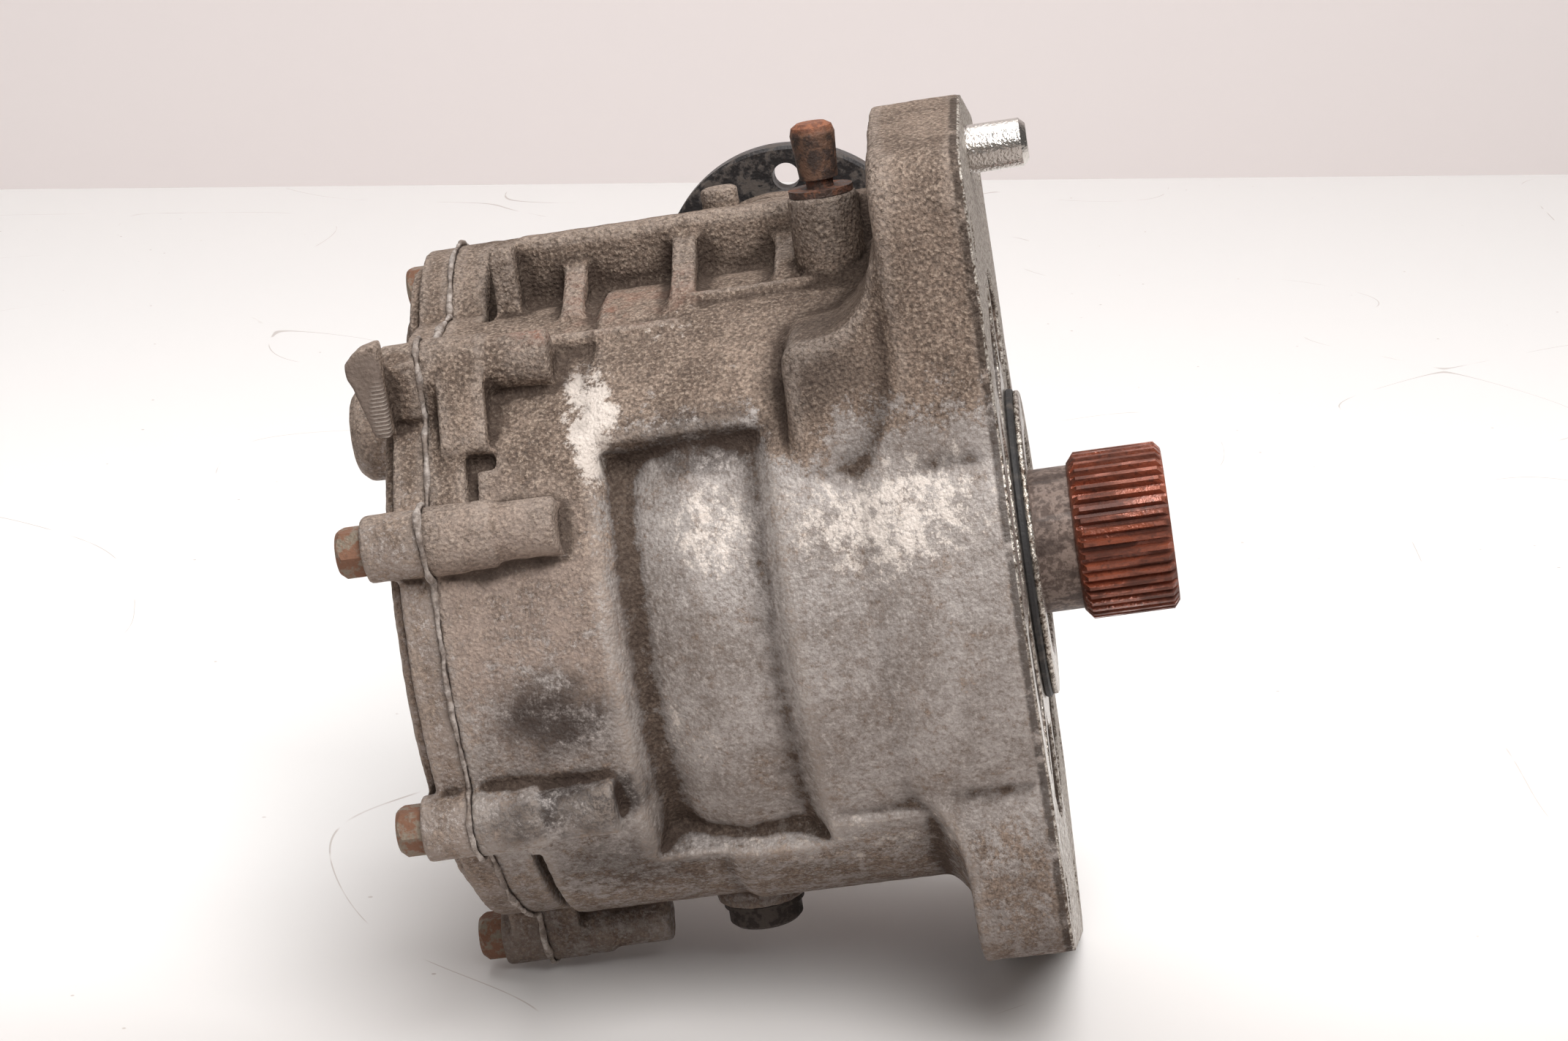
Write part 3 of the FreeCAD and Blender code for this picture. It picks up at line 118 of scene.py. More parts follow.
class Shade:
    """A node material built from short calls. Places are the object's own, in metres."""

    def __init__(self, name):
        self.material = bpy.data.materials.new(name)
        self.material.use_nodes = True
        self.tree = self.material.node_tree
        self.tree.nodes.clear()
        self.place = self.new("ShaderNodeTexCoord").outputs["Object"]

    def new(self, kind, **values):
        node = self.tree.nodes.new(kind)
        for key, value in values.items():
            setattr(node, key, value)
        return node

    def put(self, socket, value):
        """Feeds a socket with another node's output or with a constant."""
        if isinstance(value, bpy.types.NodeSocket):
            self.tree.links.new(value, socket)
        else:
            socket.default_value = value

    def math(self, operation, a, b=0.0):
        node = self.new("ShaderNodeMath", operation=operation)
        self.put(node.inputs[0], a)
        self.put(node.inputs[1], b)
        return node.outputs[0]

    def add(self, a, b):
        return self.math("ADD", a, b)

    def minus(self, a, b):
        return self.math("SUBTRACT", a, b)

    def times(self, a, b):
        return self.math("MULTIPLY", a, b)

    def most(self, first, *others):
        """The largest of the values."""
        for other in others:
            first = self.math("MAXIMUM", first, other)
        return first

    def centred(self, value, strength):
        """Noise turned into a value about 0."""
        return self.times(self.minus(value, 0.5), strength)

    def vector(self, operation, a, b):
        node = self.new("ShaderNodeVectorMath", operation=operation)
        self.put(node.inputs[0], a)
        self.put(node.inputs[1], b)
        return node.outputs["Value"] if operation in ("LENGTH", "DOT_PRODUCT") else node.outputs[0]

    def noise(self, size, detail, rough, stretch=None):
        """Noise from 0 to 1 whose grains are about size metres wide."""
        spot = self.place
        if stretch is not None:
            spot = self.vector("MULTIPLY", spot, stretch)
        node = self.new("ShaderNodeTexNoise")
        self.put(node.inputs["Vector"], spot)
        node.inputs["Scale"].default_value = 1.0 / size
        node.inputs["Detail"].default_value = detail
        node.inputs["Roughness"].default_value = rough
        return node.outputs["Fac"]

    def grains(self, size):
        """Distance to the nearest grain's centre, for lumps and pits."""
        node = self.new("ShaderNodeTexVoronoi", feature="F1")
        self.put(node.inputs["Vector"], self.place)
        node.inputs["Scale"].default_value = 1.0 / size
        return node.outputs["Distance"]

    def wavy(self, size, amount):
        """The place shifted by noise, so that masks get ragged edges."""
        node = self.new("ShaderNodeTexNoise")
        self.put(node.inputs["Vector"], self.place)
        node.inputs["Scale"].default_value = 1.0 / size
        node.inputs["Detail"].default_value = 4.0
        shift = self.vector("SUBTRACT", node.outputs["Color"], (0.5, 0.5, 0.5))
        scaled = self.vector("MULTIPLY", shift, (amount,) * 3)
        return self.vector("ADD", self.place, scaled)

    def axis(self, name, place=None):
        node = self.new("ShaderNodeSeparateXYZ")
        self.put(node.inputs[0], self.place if place is None else place)
        return node.outputs[name]

    def step(self, value, low, high):
        """0 at low, 1 at high, and soft between."""
        node = self.new("ShaderNodeMapRange", interpolation_type="SMOOTHSTEP")
        self.put(node.inputs["Value"], value)
        node.inputs["From Min"].default_value = low
        node.inputs["From Max"].default_value = high
        return node.outputs["Result"]

    def blob(self, centre, size, soft, place=None):
        """1 inside an ellipsoid of the given half sizes in millimetres, fading to 0 outside."""
        spot = self.place if place is None else place
        away = self.vector("SUBTRACT", spot, tuple(c * mm for c in centre))
        scaled = self.vector("DIVIDE", away, tuple(s * mm for s in size))
        return self.step(self.vector("LENGTH", scaled, (0, 0, 0)), 1.0 + soft, 1.0 - soft)

    def spots(self, stains, place):
        """The strongest of several blobs, each a centre, half sizes, softness and strength."""
        return self.most(*[self.times(self.blob(centre, size, soft, place), strength)
                           for centre, size, soft, strength in stains])

    def hollow(self, low, high):
        """From 0 to 1 as the casting's own hollow attribute goes from low to high, in millimetres."""
        node = self.new("ShaderNodeAttribute", attribute_name="hollow")
        return self.step(node.outputs["Fac"], low, high)

    def mix(self, share, a, b):
        node = self.new("ShaderNodeMix", data_type="RGBA")
        self.put(node.inputs["Factor"], share)
        self.put(node.inputs["A"], a)
        self.put(node.inputs["B"], b)
        return node.outputs["Result"]

    def tint(self, colour, mask, strength, paint):
        """The colour with paint laid over it where the mask is."""
        return self.mix(self.times(mask, strength), colour, paint)

    def bump(self, height, distance, below=None):
        node = self.new("ShaderNodeBump")
        self.put(node.inputs["Height"], height)
        node.inputs["Distance"].default_value = distance
        if below is not None:
            self.put(node.inputs["Normal"], below)
        return node.outputs["Normal"]

    def principled(self, colour, rough, gloss):
        """A principled shader; gloss is its specular level."""
        shader = self.new("ShaderNodeBsdfPrincipled")
        self.put(shader.inputs["Base Color"], colour)
        self.put(shader.inputs["Roughness"], rough)
        self.put(shader.inputs["Specular IOR Level"], gloss)
        return shader

    def output(self, shader):
        out = self.new("ShaderNodeOutputMaterial")
        self.put(out.inputs["Surface"], shader.outputs[0])
        return self.material

    def finish(self, colour, rough, metal, normal, coat=0.0, gloss=0.5):
        shader = self.principled(colour, rough, gloss)
        self.put(shader.inputs["Metallic"], metal)
        self.put(shader.inputs["Normal"], normal)
        shader.inputs["Coat Weight"].default_value = coat
        return self.output(shader)


# Colours of the castings' dirt, from its ground to its grains
soil_dark, soil_pale = srgb(110, 93, 81), srgb(146, 126, 111)
dust, peat = srgb(164, 144, 129), srgb(88, 74, 64)
grain_pale, grain_dark = srgb(184, 165, 148), srgb(62, 51, 44)
grain_gap = srgb(66, 54, 47)

# Colours of the metal: under the dirt, in its flecks, and where it is cut or worn, the worn ridges also
# carrying a painted highlight
case_dark, case_pale = srgb(142, 133, 127), srgb(168, 160, 155)
cover_dark, cover_pale = srgb(124, 111, 103), srgb(148, 134, 125)
patch_brown, fleck_brown, fleck_pale = srgb(124, 108, 97), srgb(112, 96, 85), srgb(192, 182, 175)
worn_ridge_painted_highlight = srgb(182, 168, 157)
bare_pale, bare_dark = srgb(206, 198, 188), srgb(96, 82, 72)
pad_metal, pad_line = srgb(114, 101, 93), srgb(172, 160, 150)

# Colours of the stains, and of the painted shade in the hollows, towards the bottom and along the top of
# the sunk pocket
grime_and_painted_shade, painted_underside_shade, oil_and_shade_dark = srgb(58, 47, 41), srgb(82, 69, 62), srgb(56, 48, 45)
white_oxide, barrel_end, red_dirt = srgb(232, 220, 210), srgb(180, 162, 151), srgb(150, 100, 82)
dark_brown, rim_dirt = srgb(66, 54, 48), srgb(52, 43, 38)

# Stains on the case: centre and half sizes in millimetres, softness and strength
oxide_spots = (
    ((-106, -72, 65), (8, 40, 18), 0.8, 0.98),
    ((-30, -84, 34), (32, 40, 18), 0.7, 0.66),
    ((-77, -76, 34), (14, 34, 14), 0.7, 0.62),
    ((-60, -70, -56), (50, 50, 12), 0.6, 0.44),
    ((-92, -80, -20), (10, 40, 14), 0.6, 0.50),
    ((-86, -50, 82), (16, 40, 8), 0.6, 0.42),
)
# Oil on the case; the last spot, along the top of the sunk pocket, is painted shade under its overhang
oil_and_pocket_shade_spots = (
    ((-124, -84, -7), (15, 40, 11), 0.6, 1.0),
    ((-124, -88, -32), (24, 60, 7), 0.4, 1.0),
    ((-112, -70, -55), (20, 50, 11), 0.6, 0.6),
    ((-44, -56, 71), (13, 34, 11), 0.6, 0.75),
    ((-78, -60, 55), (19, 40, 8), 0.5, 0.8),
)


# Materials of the castings
class Sand:
    """The noises, the dirt and the painted shade that the castings share."""

    def __init__(self, s):
        self.fine = s.noise(0.0010, detail=3.0, rough=0.7)
        self.grit = s.grains(0.0011)
        self.speck = s.noise(0.0017, detail=7.0, rough=0.85)
        self.patch = s.noise(0.0085, detail=9.0, rough=0.80)
        self.cloud = s.noise(0.022, detail=5.0, rough=0.62)
        tone = s.mix(s.step(self.cloud, 0.40, 0.62), soil_dark, soil_pale)
        tone = s.tint(tone, s.step(self.patch, 0.50, 0.60), 0.45, dust)
        tone = s.tint(tone, s.step(self.speck, 0.49, 0.42), 0.45, peat)
        tone = s.tint(tone, s.step(self.fine, 0.52, 0.60), 0.60, grain_pale)
        tone = s.tint(tone, s.step(self.fine, 0.47, 0.38), 0.60, grain_dark)
        self.colour = s.tint(tone, s.step(self.grit, 0.44, 0.60), 0.35, grain_gap)

    def cover(self, s, zone):
        """How far the dirt hides the metal, with ragged edges; zone says where it lies."""
        ragged = s.add(s.centred(self.patch, 1.7), s.centred(self.speck, 1.3))
        return s.step(s.add(zone, ragged), 0.36, 0.60)

    def metal(self, s, dark, pale):
        """Bare cast metal with light and brown specks."""
        clean = s.mix(s.step(self.cloud, 0.38, 0.62), dark, pale)
        clean = s.tint(clean, s.step(self.patch, 0.50, 0.58), 0.30, patch_brown)
        clean = s.tint(clean, s.step(self.speck, 0.51, 0.58), 0.55, fleck_brown)
        return s.tint(clean, s.step(self.speck, 0.48, 0.40), 0.60, fleck_pale)

    def shaded(self, s, colour):
        """Dirt and painted shade in the hollows, worn ridges with a painted highlight, and painted shade
        towards the bottom.
        """
        # Dirt and painted shade in the hollows
        hollow_dirt_and_shade = s.times(s.hollow(0.03, 0.6), s.add(0.72, s.centred(self.patch, 1.2)))
        colour = s.mix(hollow_dirt_and_shade, colour, grime_and_painted_shade)
        # Wear and a painted highlight on the ridges
        ridge_wear_and_highlight = s.times(s.hollow(-0.25, -0.80), s.step(self.speck, 0.40, 0.58))
        colour = s.tint(colour, ridge_wear_and_highlight, 0.38, worn_ridge_painted_highlight)
        # Painted shade: darker towards the bottom of the casting
        return s.tint(colour, s.step(s.axis("Z"), -0.044, -0.088), 0.50, painted_underside_shade)

    def normal(self, s, zone):
        """Pebbly bumps, strongest where the zone of dirt lies."""
        share = s.add(s.times(zone, 0.7), 0.3)
        below = s.bump(s.times(self.fine, share), 0.0008)
        return s.bump(s.times(s.minus(1.0, self.grit), share), 0.0004, below)

    def surface(self, s, dirt):
        """Roughness, share of clean metal and gloss under the given cover of dirt."""
        clean = s.minus(1.0, dirt)
        return s.add(0.52, s.times(dirt, 0.33)), clean, s.add(0.08, s.times(clean, 0.22))


def case_material(name):
    """Sand-cast aluminium: brown dirt above, pale metal with flecks on the barrel, oxide and oil; painted
    shade along the top of the sunk pocket, in the hollows and towards the bottom.
    """
    s = Shade(name)
    sand = Sand(s)
    ragged = s.wavy(0.010, 0.014)
    height = s.axis("Z", ragged)

    # Where the dirt lies; nowhere is quite without it
    above = s.step(height, 0.030, 0.086)
    behind = s.step(s.axis("Y", ragged), -0.010, 0.030)
    by_cover = s.times(s.step(s.axis("X", ragged), -0.094, -0.112),
                       s.add(0.36, s.times(s.step(height, -0.030, 0.060), 0.5)))
    on_shoulder = s.times(s.blob((-52, -70, 70), (13, 40, 22), 0.6, ragged), 0.95)
    beneath = s.times(s.step(height, -0.036, -0.064), 0.50)
    in_hollows = s.times(s.hollow(0.10, 0.9), 0.9)
    zone = s.most(above, behind, by_cover, on_shoulder, beneath, in_hollows, 0.25)
    dirt = sand.cover(s, zone)
    colour = s.tint(sand.metal(s, case_dark, case_pale), dirt, 0.92, sand.colour)

    # Pale oxide, thickest in the middle of its spots
    bloom = s.noise(0.0050, detail=8.0, rough=0.76, stretch=(1.1, 1.0, 0.9))
    spots = s.spots(oxide_spots, ragged)
    flakes = s.add(s.centred(bloom, 1.9), s.centred(sand.speck, 1.4))
    oxide = s.times(s.step(s.add(spots, flakes), 0.50, 0.72), s.step(spots, 0.05, 0.35))
    colour = s.mix(s.times(oxide, s.add(0.40, s.times(spots, 0.50))), colour, white_oxide)

    # Pale left end of the barrel, dark back and red floor of the upper shelf, oil, and painted shade along
    # the top of the sunk pocket
    end = s.times(s.blob((-128, -84, 16), (24, 44, 34), 0.5, ragged), s.step(sand.patch, 0.34, 0.56))
    colour = s.tint(colour, end, 0.48, barrel_end)
    # The back wall of the upper shelf is made darker
    back = s.times(s.blob((-84, -26, 112), (60, 30, 13), 0.3, ragged), s.step(sand.patch, 0.30, 0.56))
    colour = s.tint(colour, back, 0.42, dark_brown)
    shelf = s.times(s.blob((-100, -40, 90), (26, 34, 6), 0.6, ragged), s.step(sand.patch, 0.42, 0.56))
    colour = s.tint(colour, shelf, 0.8, red_dirt)
    # Oil stains, and painted shade under the overhang at the top of the sunk pocket
    patchiness = s.step(s.add(sand.patch, s.centred(sand.speck, 0.5)), 0.30, 0.52)
    colour = s.tint(colour, s.times(s.spots(oil_and_pocket_shade_spots, ragged), patchiness), 0.88, oil_and_shade_dark)
    colour = sand.shaded(s, colour)

    # Pitted rim of the mating flange, and its bare face
    rim = s.times(s.step(s.axis("X", s.wavy(0.003, 0.0016)), -0.0032, -0.0022), 0.75)
    colour = s.mix(s.times(rim, s.step(sand.patch, 0.38, 0.5)), colour, rim_dirt)
    bare = s.step(s.axis("X"), -0.0009, -0.0005)
    colour = s.mix(bare, colour, s.mix(s.step(sand.speck, 0.44, 0.56), bare_pale, bare_dark))
    rough, clean, gloss = sand.surface(s, dirt)
    rough = s.minus(rough, s.times(bare, 0.3))
    metallic = s.most(s.times(clean, 0.22), s.times(bare, 0.8))
    return s.finish(colour, rough, metallic, sand.normal(s, zone), gloss=gloss)


def cover_material(name):
    """Sand-cast aluminium of the cover, with a machined pad on the lug."""
    s = Shade(name)
    sand = Sand(s)
    above = s.step(s.axis("Z", s.wavy(0.010, 0.014)), 0.010, 0.075)
    zone = s.most(s.times(above, 0.9), s.hollow(0.15, 0.8), 0.46)
    dirt = sand.cover(s, zone)
    colour = s.tint(sand.metal(s, cover_dark, cover_pale), dirt, 0.85, sand.colour)
    colour = sand.shaded(s, colour)

    # Milled pad on the lug, with tool lines on its right half
    pad = s.times(s.blob((-161, -60, 77), (9, 3, 13), 0.15), 0.8)
    waves = s.math("SINE", s.times(s.axis("Z"), 6000.0))
    lines = s.times(s.blob((-158.5, -60, 73), (2.6, 3, 8), 0.3), s.step(waves, -0.3, 0.6))
    colour = s.mix(pad, colour, pad_metal)
    colour = s.tint(colour, lines, 0.7, pad_line)
    rough, clean, gloss = sand.surface(s, dirt)
    pebbles = sand.normal(s, s.times(s.minus(1.0, pad), zone))
    return s.finish(colour, rough, s.times(clean, 0.2), s.bump(lines, 0.0003, pebbles), gloss=gloss)


# Materials of the other pieces
def steel_material(name, clean, dirty, share, metal, rough, size=0.004, relief=0.0002):
    """Metal with patches of dirt or rust; share is how much of it they cover."""
    s = Shade(name)
    cloud = s.noise(size, detail=5.0, rough=0.65)
    fleck = s.noise(size * 0.3, detail=3.0, rough=0.6)
    grain = s.noise(0.0008, detail=2.0, rough=0.5)
    blend = s.add(s.times(cloud, 0.7), s.times(fleck, 0.3))
    cover = s.step(blend, 0.62 - share * 0.35, 0.70 - share * 0.30)
    colour = s.tint(s.mix(cover, clean, dirty), s.step(grain, 0.5, 0.8), 0.3, srgb(60, 48, 42))
    normal = s.bump(s.add(grain, s.times(fleck, 0.6)), relief)
    return s.finish(colour, s.add(rough, s.times(cover, 0.35)), s.minus(metal, s.times(cover, 0.8)), normal)


def spline_material(name):
    """Rust on the teeth with oily wet streaks, and a dark neck."""
    s = Shade(name)
    teeth = s.step(s.axis("X"), 0.0135, 0.0150)
    cloud = s.noise(0.006, detail=4.0, rough=0.6, stretch=(0.35, 1.0, 1.0))
    fleck = s.noise(0.0016, detail=3.0, rough=0.6)
    rust = s.mix(s.step(cloud, 0.38, 0.62), srgb(92, 48, 34), srgb(152, 84, 62))
    rust = s.tint(rust, s.step(fleck, 0.52, 0.7), 0.6, srgb(74, 44, 36))
    neck = s.mix(s.step(fleck, 0.42, 0.6), srgb(92, 76, 68), srgb(134, 116, 106))
    neck = s.tint(neck, s.step(cloud, 0.5, 0.62), 0.7, srgb(62, 48, 42))
    wet = s.times(s.step(cloud, 0.46, 0.56), teeth)
    rough = s.minus(0.66, s.times(wet, 0.46))
    return s.finish(s.mix(teeth, neck, rust), rough, 0.25, s.bump(fleck, 0.0003), coat=0.12)


def cap_material(name):
    """Dark rusty cap with bright rust on its top."""
    s = Shade(name)
    cloud = s.noise(0.005, detail=5.0, rough=0.7)
    fleck = s.noise(0.0014, detail=3.0, rough=0.65)
    side = s.mix(s.step(cloud, 0.42, 0.58), srgb(58, 44, 38), srgb(104, 76, 60))
    top = s.mix(s.step(fleck, 0.42, 0.6), srgb(150, 92, 62), srgb(112, 66, 46))
    on_top = s.step(s.axis("Z", s.wavy(0.003, 0.003)), cap_top - 0.0035, cap_top - 0.0005)
    return s.finish(s.tint(side, on_top, 0.9, top), 0.68, 0.15, s.bump(fleck, 0.0005))


def rubber_material(name, colour):
    """Matt rubber with pale dust."""
    s = Shade(name)
    dusty = s.step(s.noise(0.006, detail=4.0, rough=0.6), 0.5, 0.7)
    tinted = s.tint(colour, dusty, 0.4, srgb(110, 100, 92))
    return s.finish(tinted, 0.62, 0.0, s.bump(s.noise(0.001, detail=3.0, rough=0.6), 0.0002))


def sealant_material(name, pale, dark, cracked):
    """Cured sealant with brown dirt in its cracks, cracked being how strongly they show."""
    s = Shade(name)
    cloud = s.noise(0.005, detail=5.0, rough=0.65)
    crack = s.step(s.noise(0.0022, detail=4.0, rough=0.7), 0.44, 0.58)
    colour = s.tint(s.mix(s.step(cloud, 0.4, 0.62), dark, pale), crack, cracked, dark_brown)
    return s.finish(colour, 0.68, 0.0, s.bump(s.noise(0.0012, detail=3.0, rough=0.6), 0.0006))


def stage_material(name, ahead, near, far, marks):
    """Pale matt surface that is clear from behind, so that other views are not blocked.

    Its colour goes from near to far along ahead, and a darker near colour paints shade towards the camera;
    marks says how strongly scratches and crumbs show.
    """
    s = Shade(name)
    away = s.vector("DOT_PRODUCT", s.place, tuple(ahead))
    line = s.math("ABSOLUTE", s.minus(s.noise(0.16, detail=0.0, rough=0.5), 0.5))
    scratched = s.step(s.noise(0.09, detail=3.0, rough=0.6), 0.52, 0.58)
    crumbly = s.step(s.noise(0.05, detail=3.0, rough=0.6), 0.52, 0.56)
    scratch = s.times(s.step(line, 0.0010, 0.0004), scratched)
    crumb = s.times(s.step(s.grains(0.016), 0.055, 0.035), crumbly)
    # Painted shade: darker towards the camera, under and in front of the unit
    colour = s.mix(s.step(away, -0.20, 0.12), near, far)
    colour = s.tint(colour, s.most(scratch, crumb), marks, srgb(150, 122, 104))
    both = s.new("ShaderNodeMixShader")
    s.put(both.inputs[0], s.new("ShaderNodeNewGeometry").outputs["Backfacing"])
    s.put(both.inputs[1], s.principled(colour, 0.6, 0.2).outputs[0])
    s.put(both.inputs[2], s.new("ShaderNodeBsdfTransparent").outputs[0])
    return s.output(both)


# Mesh tools
def linked(name, data):
    """A new object in the scene."""
    item = bpy.data.objects.new(name, data)
    bpy.context.scene.collection.objects.link(item)
    return item


def read_points(mesh):
    points = np.empty(len(mesh.vertices) * 3)
    mesh.vertices.foreach_get("co", points)
    return points.reshape(-1, 3)


def read_normals(mesh):
    normals = np.empty(len(mesh.vertices) * 3, np.float32)
    mesh.vertex_normals.foreach_get("vector", normals)
    return normals.reshape(-1, 3).astype(float)


def read_edges(mesh):
    edges = np.empty(len(mesh.edges) * 2, np.int32)
    mesh.edges.foreach_get("vertices", edges)
    return edges.reshape(-1, 2)


def soft_step(values, low, high):
    """0 at low, 1 at high, and soft between."""
    t = np.clip((values - low) / (high - low), 0.0, 1.0)
    return t * t * (3.0 - 2.0 * t)


def relax(points, edges, weight, passes):
    """Moves each point towards its neighbours' mean, so that corners turn into fillets."""
    count = np.bincount(edges.ravel(), minlength=len(points)).astype(float)
    first, second = edges[:, 0], edges[:, 1]
    for _ in range(passes):
        total = np.empty_like(points)
        for k in range(3):
            total[:, k] = np.bincount(first, points[second, k], len(points))
            total[:, k] += np.bincount(second, points[first, k], len(points))
        points += 0.5 * weight[:, None] * (total / count[:, None] - points)
    return points


def lumps(points, size, seed):
    """Smooth noise from -1 to 1 at each point, with lumps of about the given size."""
    shift = Vector((seed, seed * 2.0, seed * 3.0))
    return np.array([noise.noise(Vector(p) / size + shift) for p in points])


def finish_mesh(piece, mesh, material):
    """Gives the piece a smooth-shaded mesh of one material."""
    piece.modifiers.clear()
    piece.data = mesh
    mesh.materials.clear()
    mesh.materials.append(material)
    mesh.polygons.foreach_set("use_smooth", [True] * len(mesh.polygons))
    mesh.update()


def recast(node, name, material, voxel, softness, keep, flow=None):
    """A copy of a CAD casting with cast fillets and lumps, which takes the node's place.

    softness gives each point a share of the smoothing and keep a share of the lumps; where flow is 1 the
    surface is smoothed much further. The attribute hollow says how far, in millimetres, each point lies
    below the casting's smoothed form.
    """
    mesh = nodes[node].data.copy()
    work = bmesh.new()
    work.from_mesh(mesh)
    bmesh.ops.remove_doubles(work, verts=work.verts, dist=1e-6)
    work.to_mesh(mesh)
    work.free()
    piece = linked(name, mesh)
    remesh = piece.modifiers.new("even", "REMESH")
    remesh.mode = "VOXEL"
    remesh.voxel_size = voxel
    graph = bpy.context.evaluated_depsgraph_get()
    even = bpy.data.meshes.new_from_object(piece.evaluated_get(graph))

    # Fillets
    points = read_points(even)
    edges = read_edges(even)
    points = relax(points, edges, softness(points), fillet_passes)
    if flow is not None:
        points = relax(points, edges, flow(points), flow_passes)
    even.vertices.foreach_set("co", points.ravel())
    even.update()

    # Lumps, kept inside the CAD model's box
    normals = read_normals(even)
    rise = sum(height * lumps(points, width, seed) for height, width, seed in cast_lumps)
    points += normals * (rise * keep(points))[:, None]
    points = np.clip(points, cad_box[0], cad_box[1])
    even.vertices.foreach_set("co", points.ravel())

    # Hollows
    smooth = relax(points.copy(), edges, np.ones(len(points)), hollow_passes)
    depth = ((smooth - points) * normals).sum(axis=1) / mm
    even.attributes.new("hollow", "FLOAT", "POINT").data.foreach_set("value", depth)
    finish_mesh(piece, even, material)
    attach(piece, "case")
    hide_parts(node)


def dress(node, material, bevel=0.0):
    """Gives a CAD node its material, and soft edges where the real piece has them."""
    piece = nodes[node]
    piece.data.materials.clear()
    piece.data.materials.append(material)
    if bevel:
        edge = piece.modifiers.new("soft edges", "BEVEL")
        edge.width = bevel
        edge.segments = 2
        edge.limit_method = "ANGLE"
        edge.angle_limit = math.radians(35)
        edge.harden_normals = False


# Castings
def case_softness(points):
    """Most of the case is rounded; its machined faces and the hub round the shaft stay sharp."""
    x, y, z = points.T
    hub = soft_step(np.hypot(y, z), 0.046, 0.052)
    face = soft_step(-x, 0.6 * mm, 2.4 * mm)
    joint = soft_step(x - joint_x, 0.5 * mm, 2.0 * mm)
    return 0.06 + 0.94 * np.minimum(np.minimum(face, joint), hub)


def case_flow(points):
    """1 where the casting flows in wide curves: the sunk pocket and the shoulder of the barrel."""
    x, y, z = points.T
    along = soft_step(x, -0.114, -0.102) * soft_step(-x, 0.014, 0.024)
    return along * soft_step(-y, 0.034, 0.050) * soft_step(z, -0.052, -0.036)


def case_keep(points):
    """No lumps on the machined faces of the case."""
    x = points[:, 0]
    return soft_step(-x, 1.0 * mm, 4.0 * mm) * soft_step(x - joint_x, 1.0 * mm, 3.0 * mm)


def cover_softness(points):
    """The cover stays nearly sharp at the joint."""
    return 0.15 + 0.85 * soft_step(joint_x - points[:, 0], 1.2 * mm, 3.5 * mm)


def cover_keep(points):
    """No lumps on the cover at the joint."""
    return soft_step(joint_x - points[:, 0], 1.5 * mm, 4.0 * mm)


case_aluminium = case_material("cast_aluminium")
recast("main_case", "case_casting", case_aluminium, case_voxel, case_softness, case_keep, case_flow)
cover_aluminium = cover_material("cover_aluminium")
recast("side_cover", "cover_casting", cover_aluminium, cover_voxel, cover_softness, cover_keep)


# Sealant squeezed out of the joint
def outer_loop(node):
    """Points of the tallest closed edge of a flat CAD ring, on its side towards -X."""
    work = bmesh.new()
    work.from_mesh(nodes[node].data)
    bmesh.ops.remove_doubles(work, verts=work.verts, dist=1e-6)
    side = min(v.co.x for v in work.verts) + 0.01 * mm
    after = {}
    for edge in work.edges:
        if len(edge.link_faces) != 2 or max(v.co.x for v in edge.verts) > side:
            continue
        flat = [abs(face.normal.x) > 0.7 for face in edge.link_faces]
        if flat[0] != flat[1]:
            for a, b in (edge.verts, reversed(edge.verts)):
                after.setdefault(a, []).append(b)
    loops = []
    while after:
        start = next(iter(after))
        loop, here, last = [], start, None
        while here in after:
            ways = [v for v in after.pop(here) if v is not last]
            loop.append(np.array(here.co))
            last, here = here, ways[0]
        loops.append(np.array(loop))
    work.free()
    return max(loops, key=lambda loop: np.ptp(loop[:, 2]))


def even_loop(points, gap):
    """The same closed line with points at even distances."""
    closed = np.vstack([points, points[:1]])
    run = np.concatenate([[0.0], np.cumsum(np.linalg.norm(np.diff(closed, axis=0), axis=1))])
    places = np.linspace(0.0, run[-1], int(run[-1] / gap), endpoint=False)
    return np.stack([np.interp(places, run, closed[:, k]) for k in range(3)], axis=1)


def strand(name, line, sides, material):
    """An uneven strand of paste along a closed line round the joint."""
    count = len(line)
    ahead = np.roll(line, -1, axis=0) - np.roll(line, 1, axis=0)
    ahead /= np.linalg.norm(ahead, axis=1)[:, None]
    out = np.stack([np.zeros(count), ahead[:, 2], -ahead[:, 1]], axis=1)
    if (out * (line - line.mean(axis=0))).sum() < 0:
        out = -out

    # Radius and sway along X, each with a slow and a quick wave
    radius = (0.72 + 0.60 * lumps(line, 0.009, 11.0) + 0.40 * lumps(line, 0.003, 13.0)) * mm
    radius = np.maximum(radius, strand_least)
    sway = (0.55 * lumps(line, 0.012, 17.0) + 0.35 * lumps(line, 0.004, 19.0)) * mm
    centre = line + out * (0.15 * mm + 0.3 * radius)[:, None]
    centre[:, 0] += 0.35 * mm + sway
    corners = []
    for i in range(sides):
        turn = 2.0 * math.pi * i / sides
        ring = centre + out * (radius * math.cos(turn))[:, None]
        ring[:, 0] += radius * math.sin(turn)
        corners.append(ring)
    corners = np.clip(np.stack(corners, axis=1).reshape(-1, 3), cad_box[0], cad_box[1])
    faces = []
    for i in range(count):
        j = (i + 1) % count
        for k in range(sides):
            n = (k + 1) % sides
            faces.append((i * sides + k, i * sides + n, j * sides + n, j * sides + k))
    mesh = bpy.data.meshes.new(name)
    mesh.from_pydata(corners.tolist(), [], faces)
    work = bmesh.new()
    work.from_mesh(mesh)
    bmesh.ops.recalc_face_normals(work, faces=work.faces)
    work.to_mesh(mesh)
    work.free()
    piece = linked(name, mesh)
    finish_mesh(piece, mesh, material)
    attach(piece, "case")


paste = sealant_material("sealant_paste", srgb(178, 167, 159), srgb(128, 114, 104), 0.45)
strand("sealant_strand", even_loop(outer_loop("sealant_bead"), strand_gap), strand_sides, paste)

